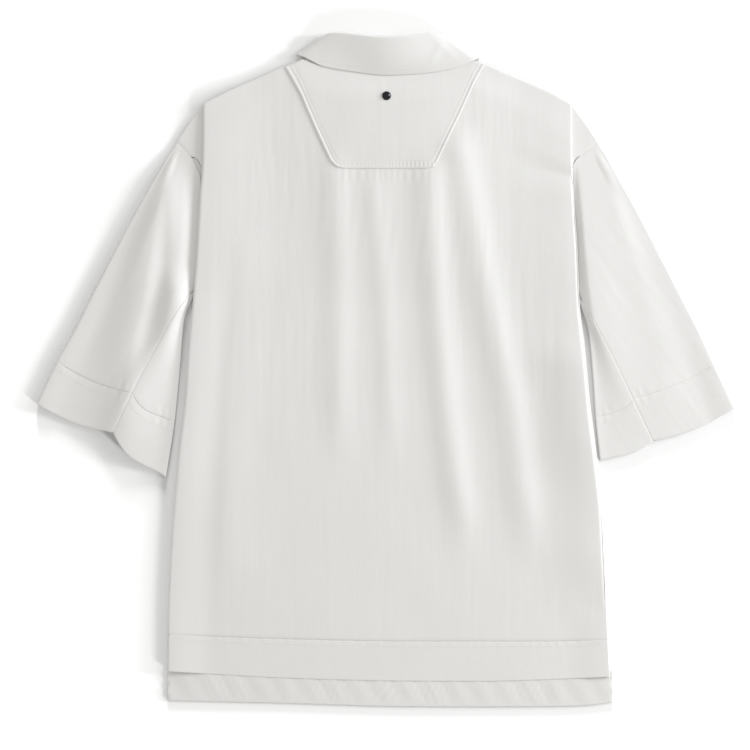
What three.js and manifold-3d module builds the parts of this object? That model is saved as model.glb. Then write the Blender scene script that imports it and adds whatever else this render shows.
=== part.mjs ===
// A plain polo shirt laid flat, face down, so its back shows.
// Millimetres. +Y points to the collar, +Z up from the surface it lies on.
import * as THREE from 'three';
import { mergeVertices } from 'three/addons/utils/BufferGeometryUtils.js';
import Module from 'manifold-3d';

const wasm = await Module();
wasm.setup();

// How far the outline's middle lies from the neck's centre line and mid height
const OUTLINE_MIDDLE = { x: 0.1, y: 1.25 };

// Cloth and seams
const WALL = 1.0;
const GAP = 0.3;
const LAYER = WALL + GAP;
const HALF = WALL / 2;

// Heights of the middle of each flat layer above the surface
const GROUND = HALF;
const SECOND = GROUND + LAYER;
const THIRD = SECOND + LAYER;
const LEAF_LIFT = 1.6;
const NECK_STAND = GROUND + LEAF_LIFT;
const NECK_BACK = 3.7;

// Side pleat of the back panel
const PLEAT = 16;
const PLEAT_ROLL = 2.0;
const PLEAT_SEAM = 2.5;
const PLEAT_TIGHT = 0.55;
const PLEAT_REACH = 1.6 * PLEAT;

// Hems, bands, placket and buttons
const TURNED_EXTRA = 0.9;
const PLACKET = { half: 15.7, low: 115, high: 264.6, slotHalf: 16 };
const BUTTON = { radius: 5.6, thick: 1.6, centres: [250, 195, 140], bedInner: 12.1, bedOuter: 24 };
const BUTTON_HOLE = { radius: 0.8, reach: 1.5, count: 4 };
const STUD = { x: 0.5, y: 286.5, radius: 4.6, height: 2.6, rim: 0.9 };

// Where the armhole seam leaves the side, where the sleeve's first row starts and the two shoulder corners
const ARMHOLE_TURN = 196;
const SLEEVE_START = 221.6;
const CORNER_LOW = 222;
const TIP_Y = 237.5;
const SHOULDER_Y = 278;
const CORNER_RISE = 100;

// Outline of the body: the side fold edges of the back at each height
const BODY = [
  { y: -355, left: -229, right: 238 },
  { y: -326, left: -229, right: 235 },
  { y: -263, left: -228.5, right: 232 },
  { y: -200, left: -226, right: 229 },
  { y: -137, left: -222, right: 226 },
  { y: -85, left: -217.5, right: 220.5 },
  { y: -32, left: -211, right: 214 },
  { y: 20, left: -207.5, right: 209 },
  { y: 73, left: -202.5, right: 203 },
  { y: 125, left: -198.5, right: 201 },
  { y: 178, left: -195.5, right: 197.5 },
  { y: 220, left: -192.5, right: 195.5 },
  { y: 278, left: -191.5, right: 195 },
];

// Shoulder slopes and the back neck seam between them
const SHOULDER = [
  { x: -219.5, y: 237.5 },
  { x: -207, y: 257 },
  { x: -191.5, y: 278 },
  { x: -165, y: 291.5 },
  { x: -106, y: 317.5 },
  { x: -88, y: 325 },
  { x: -70, y: 319.5 },
  { x: -45, y: 315.5 },
  { x: 0, y: 313 },
  { x: 45, y: 315.5 },
  { x: 72, y: 318.5 },
  { x: 92, y: 323.5 },
  { x: 103, y: 320 },
  { x: 172, y: 290 },
  { x: 195, y: 277 },
  { x: 210, y: 256 },
  { x: 222.5, y: 237.5 },
];

// Front neck seam, between the same shoulder points
const FRONT_NECK = [
  { x: -88, y: 325 },
  { x: -80, y: 317 },
  { x: -67, y: 295 },
  { x: -43, y: 274 },
  { x: -16, y: 266.5 },
  { x: 16, y: 266.5 },
  { x: 43, y: 274 },
  { x: 68, y: 295 },
  { x: 82, y: 316 },
  { x: 92, y: 323.5 },
];

const NECK_EASE = 0.9;
const HEM_SIDE = -348;

// Places across the shoulders where the front panel has a column of points
const FRONT_COLUMNS = [
  -219.5, -205, -188, -165, -142, -120, -102, -88, -80, -67, -55, -43, -30, -16, 0,
  16, 30, 43, 55, 68, 82, 92, 105, 124, 146, 169, 192, 208, 222.5,
];

// Lower edges across the body
const HEMS = [
  { x: -240, front: -347.5, back: -316, band: -278 },
  { x: -195, front: -348.5, back: -319, band: -280 },
  { x: -90, front: -351, back: -324.5, band: -283.5 },
  { x: 15, front: -354, back: -327, band: -285.5 },
  { x: 100, front: -354.4, back: -327.4, band: -285.6 },
  { x: 172, front: -354, back: -325.5, band: -285.5 },
  { x: 205, front: -353.3, back: -324, band: -285 },
  { x: 240, front: -349.3, back: -322.5, band: -284.5 },
];

// Side edge of the front panel: side seam, underarm and front armhole, hidden under the back
const FRONT_SIDE = [
  { y: -355, left: -229, right: 238 },
  { y: -263, left: -228, right: 231.5 },
  { y: -150, left: -222, right: 226 },
  { y: -90, left: -212, right: 216 },
  { y: -32, left: -204, right: 207 },
  { y: 40, left: -194, right: 196 },
  { y: 100, left: -187.4, right: 189.4 },
  { y: 165, left: -186.9, right: 189 },
  { y: 205, left: -189, right: 192 },
  { y: 222, left: -199, right: 202 },
  { y: 237.5, left: -219.5, right: 222.5 },
];

// Soft folds: the path of each crest downwards, its height and its reach to each side
const BODY_FOLDS = [
  { height: 3.4, west: 17, east: 15,
    path: [[47, 205], [50, 125], [56, 41], [63, -32], [72, -106], [80, -160]] },
  { height: 3.6, west: 20, east: 16,
    path: [[78, 232], [97, 125], [114, 41], [130, -32], [140, -106], [148, -160]] },
  { height: 2.2, west: 16, east: 14,
    path: [[-53, 205], [-51, 125], [-50, 41], [-49, -60]] },
  { height: 1.4, west: 12, east: 12,
    path: [[-14, 190], [-1, 52], [4, -60]] },
  { height: 1.8, west: 16, east: 26,
    path: [[-150, 120], [-158, 20], [-165, -90], [-166, -210]] },
  { height: 2.6, west: 38, east: 20,
    path: [[196, 240], [199, 150], [204, 40], [214, -60], [222, -130]] },
  { height: 1.8, west: 20, east: 22,
    path: [[-194, 240], [-196, 150], [-203, 40], [-212, -60], [-218, -130]] },
];
const SLEEVE_FOLDS = {
  left: [
    { height: 3.6, west: 26, east: 15,
      path: [[-236, 190], [-250, 114], [-256, 72], [-269, 20], [-281, -75]] },
    { height: 1.6, west: 8, east: 10,
      path: [[-224, 190], [-225, 120], [-228, 72]] },
    {
      height: 2.6,
      west: 16,
      east: 6,
      path: [[-206, 215], [-207, 150], [-210, 88], [-214, 46], [-219, -1], [-223, -60]],
    },
  ],
  right: [
    { height: 3.0, west: 6, east: 13,
      path: [[204, 215], [207, 170], [212, 88], [216, 46], [221, -1], [226, -60]] },
    { height: 2.4, west: 18, east: 26,
      path: [[262, 130], [282, 60], [296, 0], [300, -70]] },
    { height: 1.4, west: 10, east: 14,
      path: [[232, 180], [240, 110], [252, 40]] },
  ],
};
// How far a fold takes to fade past its lower and its upper end
const FADE = { below: 60, inside: 40, topInside: 10, above: 35 };

// Sleeves, from the shoulder tip to the cuff. outer is the upper fold edge, seam is the armhole and
// then the underarm seam on the upper side, inner is the front armhole and then the lower fold edge.
const OUTER_ROLL = 1.15;
const INNER_ROLL = 1.8;
const BAND_AT = 0.84;
const BAND_GAP = 0.0006;
const UNDERARM_AT = 0.46;
const SLEEVES = {
  left: [
    { at: 0.0, outerX: -219.8, outerY: 237.3, seamX: -203.6, seamY: 221.2, innerX: -199.4, innerY: 221.6 },
    { at: 0.12, outerX: -240, outerY: 205.5, seamX: -194.6, seamY: 196, innerX: -190.4, innerY: 199 },
    { at: 0.25, outerX: -259, outerY: 172.5, seamX: -194.6, seamY: 160, innerX: -188.5, innerY: 161 },
    { at: 0.36, outerX: -276, outerY: 141.5, seamX: -196.8, seamY: 122, innerX: -189.5, innerY: 122 },
    { at: UNDERARM_AT, outerX: -292, outerY: 111, seamX: -201, seamY: 87, innerX: -195.8, innerY: 87.6 },
    { at: 0.5, outerX: -298, outerY: 99.5, seamX: -205.8, seamY: 79, innerX: -203.6, innerY: 73.5 },
    { at: 0.58, outerX: -310, outerY: 76, seamX: -221, seamY: 58, innerX: -212, innerY: 50 },
    { at: 0.7, outerX: -328, outerY: 40, seamX: -240, seamY: 25, innerX: -216, innerY: 4 },
    { at: BAND_AT, outerX: -346, outerY: 8, seamX: -266.5, seamY: -25, innerX: -222, innerY: -56 },
    { at: 1.0, outerX: -366.7, outerY: -36, seamX: -286, seamY: -66, innerX: -231, innerY: -113 },
  ],
  right: [
    { at: 0.0, outerX: 222.8, outerY: 237.3, seamX: 207, seamY: 221.2, innerX: 202.6, innerY: 221.6 },
    { at: 0.12, outerX: 243, outerY: 204, seamX: 197, seamY: 196, innerX: 192.6, innerY: 199 },
    { at: 0.25, outerX: 261, outerY: 172.5, seamX: 197.6, seamY: 160, innerX: 190.5, innerY: 161 },
    { at: 0.36, outerX: 277.5, outerY: 141.5, seamX: 199.4, seamY: 122, innerX: 191.4, innerY: 122 },
    { at: UNDERARM_AT, outerX: 293, outerY: 111, seamX: 201.8, seamY: 86, innerX: 193.8, innerY: 86 },
    { at: 0.5, outerX: 299, outerY: 99.5, seamX: 207, seamY: 70.5, innerX: 205, innerY: 65 },
    { at: 0.58, outerX: 311, outerY: 76, seamX: 220, seamY: 47, innerX: 214, innerY: 40 },
    { at: 0.7, outerX: 329, outerY: 41, seamX: 238, seamY: 13, innerX: 219, innerY: -6 },
    { at: BAND_AT, outerX: 345, outerY: 6, seamX: 259, seamY: -31, innerX: 223, innerY: -52 },
    { at: 1.0, outerX: 366.5, outerY: -40, seamX: 280, seamY: -75, innerX: 228.5, innerY: -96 },
  ],
};

// Yoke: half widths of its trapezoid, from the bottom to the shoulders
const YOKE = [
  { y: 210.6, left: -43, right: 43 },
  { y: 212.5, left: -52, right: 50.5 },
  { y: 219.5, left: -58.6, right: 54.5 },
  { y: 246, left: -71.2, right: 67 },
  { y: 318, left: -105.5, right: 103 },
];
const YOKE_TOP = 318;
const YOKE_EASE = 1.2;
const YOKE_REST = 0.25;
const YOKE_RAISED = 0.7;

// Collar, from the left front point round the back to the right one. seam is the neck seam, roll the
// folded top and edge the free edge; side turns the fall from below (-1) over the outside (0) to above (1).
const COLLAR = [
  { at: 0.0, seam: [-3.5, 266.8, NECK_STAND], roll: [-3.5, 275],
    edge: [-55.5, 247, 0.5], side: -1, apart: 1.6 },
  { at: 0.12, seam: [-43, 274.4, NECK_STAND], roll: [-25, 293],
    edge: [-77.5, 261.5, 0.5], side: -1, apart: 1.6 },
  { at: 0.24, seam: [-66.5, 295.6, NECK_STAND], roll: [-44, 318],
    edge: [-91, 287, 0.5], side: -1, apart: 1.6 },
  { at: 0.32, seam: [-79.3, 317.6, NECK_STAND], roll: [-56, 342],
    edge: [-93.5, 316, 0.5], side: -0.9, apart: 1.7 },
  { at: 0.36, seam: [-84.8, 326, 2.9], roll: [-59.5, 350.5],
    edge: [-94.5, 330.5, 2.2], side: -0.1, apart: 2.3 },
  { at: 0.39, seam: [-80, 325, NECK_BACK], roll: [-58, 351],
    edge: [-86, 327.8, 6.9], side: 0.85, apart: 2.9 },
  { at: 0.42, seam: [-70, 320.9, NECK_BACK], roll: [-46, 351.5],
    edge: [-66, 318, 7.0], side: 1, apart: 3.1 },
  { at: 0.46, seam: [-40, 316.1, NECK_BACK], roll: [-25, 349.5],
    edge: [-32, 312, 7.1], side: 1, apart: 3.1 },
  { at: 0.5, seam: [0, 314, NECK_BACK], roll: [0, 347.5],
    edge: [0, 308.5, 7.2], side: 1, apart: 3.1 },
  { at: 0.54, seam: [40, 316.1, NECK_BACK], roll: [25, 348.5],
    edge: [34, 310, 7.1], side: 1, apart: 3.1 },
  { at: 0.58, seam: [70, 319.4, NECK_BACK], roll: [45, 350.5],
    edge: [68, 315, 7.0], side: 1, apart: 3.1 },
  { at: 0.61, seam: [84.3, 323.9, NECK_BACK], roll: [57, 350.5],
    edge: [90, 323, 6.9], side: 0.85, apart: 2.9 },
  { at: 0.64, seam: [88.5, 324.6, 2.9], roll: [59.5, 349.5],
    edge: [98, 327.5, 2.2], side: -0.1, apart: 2.3 },
  { at: 0.68, seam: [81, 316.6, NECK_STAND], roll: [57, 341],
    edge: [96.5, 314, 0.5], side: -0.9, apart: 1.7 },
  { at: 0.76, seam: [67.5, 295.6, NECK_STAND], roll: [44, 318],
    edge: [92, 286, 0.5], side: -1, apart: 1.6 },
  { at: 0.88, seam: [43, 274.4, NECK_STAND], roll: [25, 293],
    edge: [77.5, 261.5, 0.5], side: -1, apart: 1.6 },
  { at: 1.0, seam: [3.5, 266.8, NECK_STAND], roll: [3.5, 275],
    edge: [55.5, 247, 0.5], side: -1, apart: 1.6 },
];

const mix = (a, b, t) => a + (b - a) * t;
const clamp01 = (t) => Math.min(1, Math.max(0, t));

// 0 below low, 1 above high, smooth between
function ramp(low, high, value) {
  const t = clamp01((value - low) / (high - low));
  return t * t * (3 - 2 * t);
}

// Value of one column of a table at a key, on a smooth curve through its rows
function readTable(table, key, column, at) {
  const last = table.length - 1;
  if (at <= table[0][key]) return table[0][column];
  if (at >= table[last][key]) return table[last][column];
  let row = 0;
  while (table[row + 1][key] < at) row += 1;
  const slope = (a, b) => (table[b][column] - table[a][column]) / (table[b][key] - table[a][key]);
  const here = slope(row, row + 1);
  const before = row > 0 ? slope(row - 1, row) : here;
  const after = row < last - 1 ? slope(row + 1, row + 2) : here;
  const tangent = (a, b) => (a * b <= 0 ? 0 : (2 * a * b) / (a + b));
  const span = table[row + 1][key] - table[row][key];
  const t = (at - table[row][key]) / span;
  const startSlope = tangent(before, here) * span;
  const endSlope = tangent(here, after) * span;
  const a = table[row][column];
  const b = table[row + 1][column];
  return (
    a * (1 + 2 * t) * (1 - t) * (1 - t) +
    startSlope * t * (1 - t) * (1 - t) +
    b * t * t * (3 - 2 * t) -
    endSlope * t * t * (1 - t)
  );
}

// Straight reading of a table, for outlines with corners
function readStraight(table, key, column, at) {
  const last = table.length - 1;
  if (at <= table[0][key]) return table[0][column];
  if (at >= table[last][key]) return table[last][column];
  let row = 0;
  while (table[row + 1][key] < at) row += 1;
  const t = (at - table[row][key]) / (table[row + 1][key] - table[row][key]);
  return mix(table[row][column], table[row + 1][column], t);
}

// Height that a list of soft folds adds at a point, each a rounded ridge that fades at both ends
function foldsAt(folds, x, y) {
  let sum = 0;
  for (const fold of folds) {
    const rows = fold.path.map(([px, py]) => ({ y: py, x: px })).reverse();
    const top = rows[rows.length - 1].y;
    const low = rows[0].y;
    const off = x - readTable(rows, 'y', 'x', y);
    const reach = off < 0 ? fold.west : fold.east;
    const risen = ramp(low - FADE.below, low + FADE.inside, y);
    const fade = risen * (1 - ramp(top - FADE.topInside, top + FADE.above, y));
    sum += fold.height * fade * Math.exp(-((off / reach) ** 2));
  }
  return sum;
}

// Height of the middle of the back's upper cloth
function backHeight(x, y) {
  const shoulder = readStraight(SHOULDER, 'x', 'y', x);
  const neck = 1 - ramp(112, 150, Math.abs(x));
  const aboveHem = ramp(-290, -180, y);
  const base = mix(2.2, 2.8, aboveHem);
  const stack = 2.9 * (1 - ramp(16, 62, Math.abs(x))) * ramp(60, 118, y);
  const edge = mix(SECOND + 0.25, NECK_BACK, neck);
  const cloth = base + stack + foldsAt(BODY_FOLDS, x, y);
  const collarBed = 1.0 * (1 - ramp(90, 150, Math.abs(x))) * ramp(205, 240, y);
  return mix(edge, cloth + collarBed, ramp(0, 34, shoulder - y));
}

// Closed wall round a grid of middle points, each moved out and in along its normal
function wallGeometry(grid, outer, inner) {
  const rows = grid.length;
  const columns = grid[0].length;
  const positions = [];
  const normalAt = (j, i) => {
    const across = grid[j][Math.min(i + 1, columns - 1)].clone().sub(grid[j][Math.max(i - 1, 0)]);
    const along = grid[Math.min(j + 1, rows - 1)][i].clone().sub(grid[Math.max(j - 1, 0)][i]);
    return across.cross(along).normalize();
  };
  for (const side of [1, -1]) {
    for (let j = 0; j < rows; j += 1) {
      for (let i = 0; i < columns; i += 1) {
        const reach = side > 0 ? outer(i, j) : -inner(i, j);
        const point = grid[j][i].clone().addScaledVector(normalAt(j, i), reach);
        positions.push(point.x, point.y, point.z);
      }
    }
  }
  const index = [];
  const far = rows * columns;
  const quad = (a, b, c, d) => index.push(a, b, c, a, c, d);
  for (let j = 0; j < rows - 1; j += 1) {
    for (let i = 0; i < columns - 1; i += 1) {
      const a = j * columns + i;
      quad(a, a + 1, a + columns + 1, a + columns);
      quad(far + a, far + a + columns, far + a + columns + 1, far + a + 1);
    }
  }
  for (let i = 0; i < columns - 1; i += 1) {
    const top = (rows - 1) * columns + i;
    quad(i + 1, i, far + i, far + i + 1);
    quad(top, top + 1, far + top + 1, far + top);
  }
  for (let j = 0; j < rows - 1; j += 1) {
    const west = j * columns;
    const east = west + columns - 1;
    quad(west, west + columns, far + west + columns, far + west);
    quad(east + columns, east, far + east, far + east + columns);
  }
  const geometry = new THREE.BufferGeometry();
  geometry.setAttribute('position', new THREE.Float32BufferAttribute(positions, 3));
  geometry.setIndex(index);
  return signedVolume(geometry) < 0 ? turnedOver(geometry) : geometry;
}

function signedVolume(geometry) {
  const place = geometry.getAttribute('position');
  const corners = geometry.index.array;
  const point = (n) => new THREE.Vector3().fromBufferAttribute(place, corners[n]);
  let volume = 0;
  for (let n = 0; n < corners.length; n += 3) {
    volume += point(n).dot(point(n + 1).cross(point(n + 2))) / 6;
  }
  return volume;
}

function turnedOver(geometry) {
  const corners = geometry.index.array;
  for (let n = 0; n < corners.length; n += 3) {
    [corners[n + 1], corners[n + 2]] = [corners[n + 2], corners[n + 1]];
  }
  return geometry;
}

const evenWall = () => HALF;

// Values from 0 to 1, closer together near both ends
function spread(count, crowd) {
  return Array.from({ length: count }, (_, n) => {
    const t = n / (count - 1);
    return mix(t, t * t * (3 - 2 * t), crowd);
  });
}

// A half roll of cloth in the plane of two directions, from one layer to the next
function rollPoints(centre, outward, upward, radius, steps, from = -1) {
  return Array.from({ length: steps }, (_, n) => {
    const angle = (Math.PI * (n + 0.5)) / steps;
    return centre
      .clone()
      .addScaledVector(outward, radius * Math.sin(angle))
      .addScaledVector(upward, radius * Math.cos(angle) * from);
  });
}

const rim = (x) => readStraight(SHOULDER, 'x', 'y', x);

// 0 beside the sleeves, 1 below them
const lowerBody = (y) => ramp(60, 170, -y);

// Where each side fold starts at the shoulder, and how far out it ends below
const FOLD_TOP = { left: -191.5, right: 195 };
const FOLD_FOOT = 230;

// One row of the back panel: seam, pleat, upper cloth from left to right, pleat, seam
function backRow(along, low, high, columns) {
  const pleatSide = (sign) => {
    const name = sign < 0 ? 'left' : 'right';
    const edgeY = mix(low(sign * FOLD_FOOT), high(FOLD_TOP[name]), along);
    const foldX = readTable(BODY, 'y', name, edgeY);
    const tight = mix(1, PLEAT_TIGHT, lowerBody(edgeY) + ramp(CORNER_LOW + 3, SHOULDER_Y, edgeY));
    const inX = foldX - sign * (PLEAT * tight);
    const dropped = ramp(ARMHOLE_TURN, TIP_Y, edgeY);
    const armhole = SLEEVES[name][0].seamX - sign * 2 * GAP;
    const towardTip = ramp(CORNER_LOW, SHOULDER_Y, edgeY);
    const tipX = sign < 0 ? SHOULDER[0].x : SHOULDER[SHOULDER.length - 1].x;
    const hiddenX = foldX - sign * PLEAT_SEAM;
    const visibleX = mix(armhole, tipX, towardTip);
    const seamX = mix(hiddenX, visibleX, dropped);
    const seamY = mix(edgeY, mix(SLEEVE_START, TIP_Y, towardTip), dropped);
    const topY = rim(FOLD_TOP[name]);
    const inTopX = FOLD_TOP[name] - sign * PLEAT * PLEAT_TIGHT;
    const corner = ramp(0.9, 1, along) * ramp(CORNER_RISE, TIP_Y, edgeY);
    const under = [0, 0.35, 0.7].map((t) => {
      const bulge = rim(mix(tipX, inTopX, t)) - mix(rim(tipX), topY, t);
      return new THREE.Vector3(mix(seamX, inX, t), mix(seamY, edgeY, t) + corner * bulge, SECOND);
    });
    const out = new THREE.Vector3(-sign, 0, 0);
    const up = new THREE.Vector3(0, 0, 1);
    const rimAt = (x) => edgeY + corner * (rim(x) - topY);
    const centreIn = new THREE.Vector3(inX, rimAt(inX), (SECOND + THIRD) / 2);
    const inner = rollPoints(centreIn, out, up, (THIRD - SECOND) / 2, 3);
    const radius = PLEAT_ROLL * mix(1, 0.6, lowerBody(edgeY) + ramp(TIP_Y, SHOULDER_Y, edgeY));
    const rollX = foldX - sign * (radius + HALF);
    const centreOut = new THREE.Vector3(rollX, rimAt(rollX), THIRD + radius);
    const outer = rollPoints(centreOut, out.clone().negate(), up, radius, 4);
    const points = [...under, ...inner, ...outer];
    return { points: points, rollX: rollX, topZ: THIRD + 2 * radius };
  };
  const west = pleatSide(-1);
  const east = pleatSide(1);
  const upper = columns.map((s) => {
    const x = mix(west.rollX, east.rollX, s);
    const y = mix(low(x), high(x), along);
    const nearWest = 1 - ramp(2, PLEAT_REACH, x - west.rollX);
    const nearEast = 1 - ramp(2, PLEAT_REACH, east.rollX - x);
    const plain = backHeight(x, y);
    const fromWest = mix(plain, Math.max(plain, west.topZ), nearWest);
    const lifted = mix(fromWest, Math.max(plain, east.topZ), nearEast);
    const onEdge = s === 0 ? west.topZ : east.topZ;
    return new THREE.Vector3(x, y, s === 0 || s === 1 ? onEdge : lifted);
  });
  return [...west.points, ...upper, ...east.points.reverse()];
}

const UPPER_COLUMNS = spread(27, 0.35);

function backPanel() {
  const low = (x) => readTable(HEMS, 'x', 'band', x) + GAP;
  const rows = [0, 0.08, 0.16, 0.24, 0.32, 0.4, 0.48, 0.56, 0.63, 0.7, 0.77, 0.83, 0.88];
  rows.push(0.92, 0.955, 0.98, 1);
  return wallGeometry(rows.map((t) => backRow(t, low, rim, UPPER_COLUMNS)), evenWall, evenWall);
}

function backBand() {
  const low = (x) => readTable(HEMS, 'x', 'back', x);
  const high = (x) => readTable(HEMS, 'x', 'band', x) - GAP;
  return wallGeometry([0, 0.5, 1].map((t) => backRow(t, low, high, UPPER_COLUMNS)), evenWall, evenWall);
}

// Where the front panel leaves the ground to pass over the collar's front points
const LIFT = { low: 205, high: 228, inside: 100, outside: 116 };
const SLOT_ABOVE = 60;
const SLOT_DEEP = 20;

// The front panel lies on the ground and rises over the collar's front points
function frontPanel() {
  const rows = [0, 0.0235, 0.0245, 0.1, 0.2, 0.3, 0.4, 0.5, 0.6, 0.7, 0.78, 0.85, 0.9, 0.94, 0.97, 1];
  const top = (x) => {
    const inNeck = x > FRONT_NECK[0].x && x < FRONT_NECK[FRONT_NECK.length - 1].x;
    return inNeck ? readTable(FRONT_NECK, 'x', 'y', x) - NECK_EASE : readStraight(SHOULDER, 'x', 'y', x);
  };
  const span = SHOULDER[SHOULDER.length - 1].x - SHOULDER[0].x;
  const columns = FRONT_COLUMNS.map((x) => (x - SHOULDER[0].x) / span);
  const grid = rows.map((t) => {
    const edgeY = mix(HEM_SIDE, TIP_Y, t);
    const west = readTable(FRONT_SIDE, 'y', 'left', edgeY);
    const east = readTable(FRONT_SIDE, 'y', 'right', edgeY);
    return columns.map((s) => {
      const x = mix(west, east, s);
      const topX = mix(SHOULDER[0].x, SHOULDER[0].x + span, s);
      const y = mix(readTable(HEMS, 'x', 'front', x), top(topX), t);
      const beside = ramp(LIFT.inside, LIFT.outside, Math.abs(x));
      const lift = LEAF_LIFT * ramp(LIFT.low, LIFT.high, y) * (1 - beside);
      return new THREE.Vector3(x, y, GROUND + lift);
    });
  });
  const inHem = (i, j) => (rows[j] < 0.024 ? HALF + TURNED_EXTRA : HALF);
  const panel = wallGeometry(grid, inHem, evenWall);
  const slotTop = PLACKET.high + SLOT_ABOVE;
  const slot = new THREE.BoxGeometry(2 * PLACKET.slotHalf, slotTop - PLACKET.low, SLOT_DEEP);
  slot.translate(0, (PLACKET.low + slotTop) / 2 - GAP, 0);
  return geometryOf(solidOf(panel).subtract(solidOf(slot)));
}

function solidOf(geometry) {
  const bare = geometry.clone();
  bare.deleteAttribute('normal');
  bare.deleteAttribute('uv');
  const merged = mergeVertices(bare);
  return new wasm.Manifold(
    new wasm.Mesh({
      numProp: 3,
      vertProperties: new Float32Array(merged.getAttribute('position').array),
      triVerts: new Uint32Array(merged.index.array),
    }),
  );
}

function geometryOf(solid) {
  const mesh = solid.getMesh();
  const geometry = new THREE.BufferGeometry();
  geometry.setAttribute('position', new THREE.BufferAttribute(new Float32Array(mesh.vertProperties), 3));
  geometry.setIndex(new THREE.BufferAttribute(new Uint32Array(mesh.triVerts), 1));
  return geometry;
}

// Placket strips on the hidden front, raised over the buttons
function placketStrip(level, half) {
  const count = 26;
  const rows = Array.from({ length: count }, (_, n) => mix(PLACKET.low, PLACKET.high, n / (count - 1)));
  const grid = rows.map((y) =>
    [-1, -0.5, 0, 0.5, 1].map((s) => new THREE.Vector3(s * half, y, level + buttonLift(s * half, y))),
  );
  return wallGeometry(grid, evenWall, evenWall);
}

function buttonLift(x, y) {
  const rise = BUTTON.thick + GAP;
  const { centres, bedInner, bedOuter } = BUTTON;
  const lifts = centres.map((centre) => 1 - ramp(bedInner, bedOuter, Math.abs(y - centre)));
  return rise * Math.max(...lifts) * mix(1, 0.98, Math.abs(x) / PLACKET.half);
}

function button() {
  const { radius, thick } = BUTTON;
  const profile = [
    [0, 0.4],
    [radius - 2, 0.4],
    [radius - 1.4, 0],
    [radius - 0.4, 0],
    [radius, 0.4],
    [radius, thick - 0.3],
    [radius - 0.4, thick],
    [0, thick],
  ].map(([r, z]) => new THREE.Vector2(r, z));
  const disc = new THREE.LatheGeometry(profile, 24);
  disc.rotateX(Math.PI / 2);
  let solid = solidOf(rightWay(disc));
  for (let n = 0; n < BUTTON_HOLE.count; n += 1) {
    const hole = new THREE.CylinderGeometry(BUTTON_HOLE.radius, BUTTON_HOLE.radius, 3 * thick, 8);
    hole.rotateX(Math.PI / 2);
    const angle = ((n + 0.5) * 2 * Math.PI) / BUTTON_HOLE.count;
    hole.translate(BUTTON_HOLE.reach * Math.cos(angle), BUTTON_HOLE.reach * Math.sin(angle), thick / 2);
    solid = solid.subtract(solidOf(hole));
  }
  return geometryOf(solid);
}

// Sets a closed lathe upright on z = 0 with its faces pointing out
function rightWay(geometry) {
  const bare = geometry.clone();
  bare.deleteAttribute('normal');
  bare.deleteAttribute('uv');
  const merged = mergeVertices(bare);
  merged.computeBoundingBox();
  merged.translate(0, 0, -merged.boundingBox.min.z);
  return signedVolume(merged) < 0 ? turnedOver(merged) : merged;
}

function stud() {
  const { radius, height, rim: foot } = STUD;
  const profile = [[0, 0], [radius - 0.4, 0], [radius, 0.4], [radius, foot]];
  for (let n = 1; n < 6; n += 1) {
    const angle = (n / 6) * (Math.PI / 2);
    profile.push([radius * Math.cos(angle), foot + (height - foot) * Math.sin(angle)]);
  }
  profile.push([0, height]);
  const dome = new THREE.LatheGeometry(profile.map(([r, z]) => new THREE.Vector2(r, z)), 28);
  dome.rotateX(Math.PI / 2);
  return rightWay(dome);
}

// Yoke: the back panel's points moved out, thicker along its sides and bottom
function yokeHeight(x, y) {
  return backHeight(x, y) + LAYER + YOKE_REST;
}

function yoke() {
  const rows = [0, 0.02, 0.045, 0.12, 0.24, 0.38, 0.52, 0.66, 0.8, 0.9, 1];
  const low = YOKE[0].y;
  const columns = [0, 0.045, 0.06, 0.18, 0.3, 0.42, 0.54, 0.66, 0.78, 0.9, 0.94, 0.955, 1];
  const grid = rows.map((t) => {
    const edgeY = mix(low, YOKE_TOP, t);
    const west = readStraight(YOKE, 'y', 'left', edgeY);
    const east = readStraight(YOKE, 'y', 'right', edgeY);
    return columns.map((s) => {
      const x = mix(west, east, s);
      const y = mix(low, rim(x) - YOKE_EASE, t);
      return new THREE.Vector3(x, y, yokeHeight(x, y));
    });
  });
  const lastColumn = columns.length - 1;
  const raised = (i, j) => (i < 2 || i > lastColumn - 2 || j < 2 ? HALF + YOKE_RAISED : HALF);
  return wallGeometry(grid, raised, evenWall);
}

const VALLEY_END = -80;

// Height of the sleeve's upper cloth; above the underarm it dips under the back's side fold
function sleeveHeight(name, x, y) {
  const sign = name === 'left' ? -1 : 1;
  const cloth = 2.5 + foldsAt(SLEEVE_FOLDS[name], x, y);
  const foldX = readTable(BODY, 'y', name, y);
  const valley = ramp(5, 13, sign * (x - foldX));
  return mix(SECOND, cloth, y < VALLEY_END ? 1 : valley);
}

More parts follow.
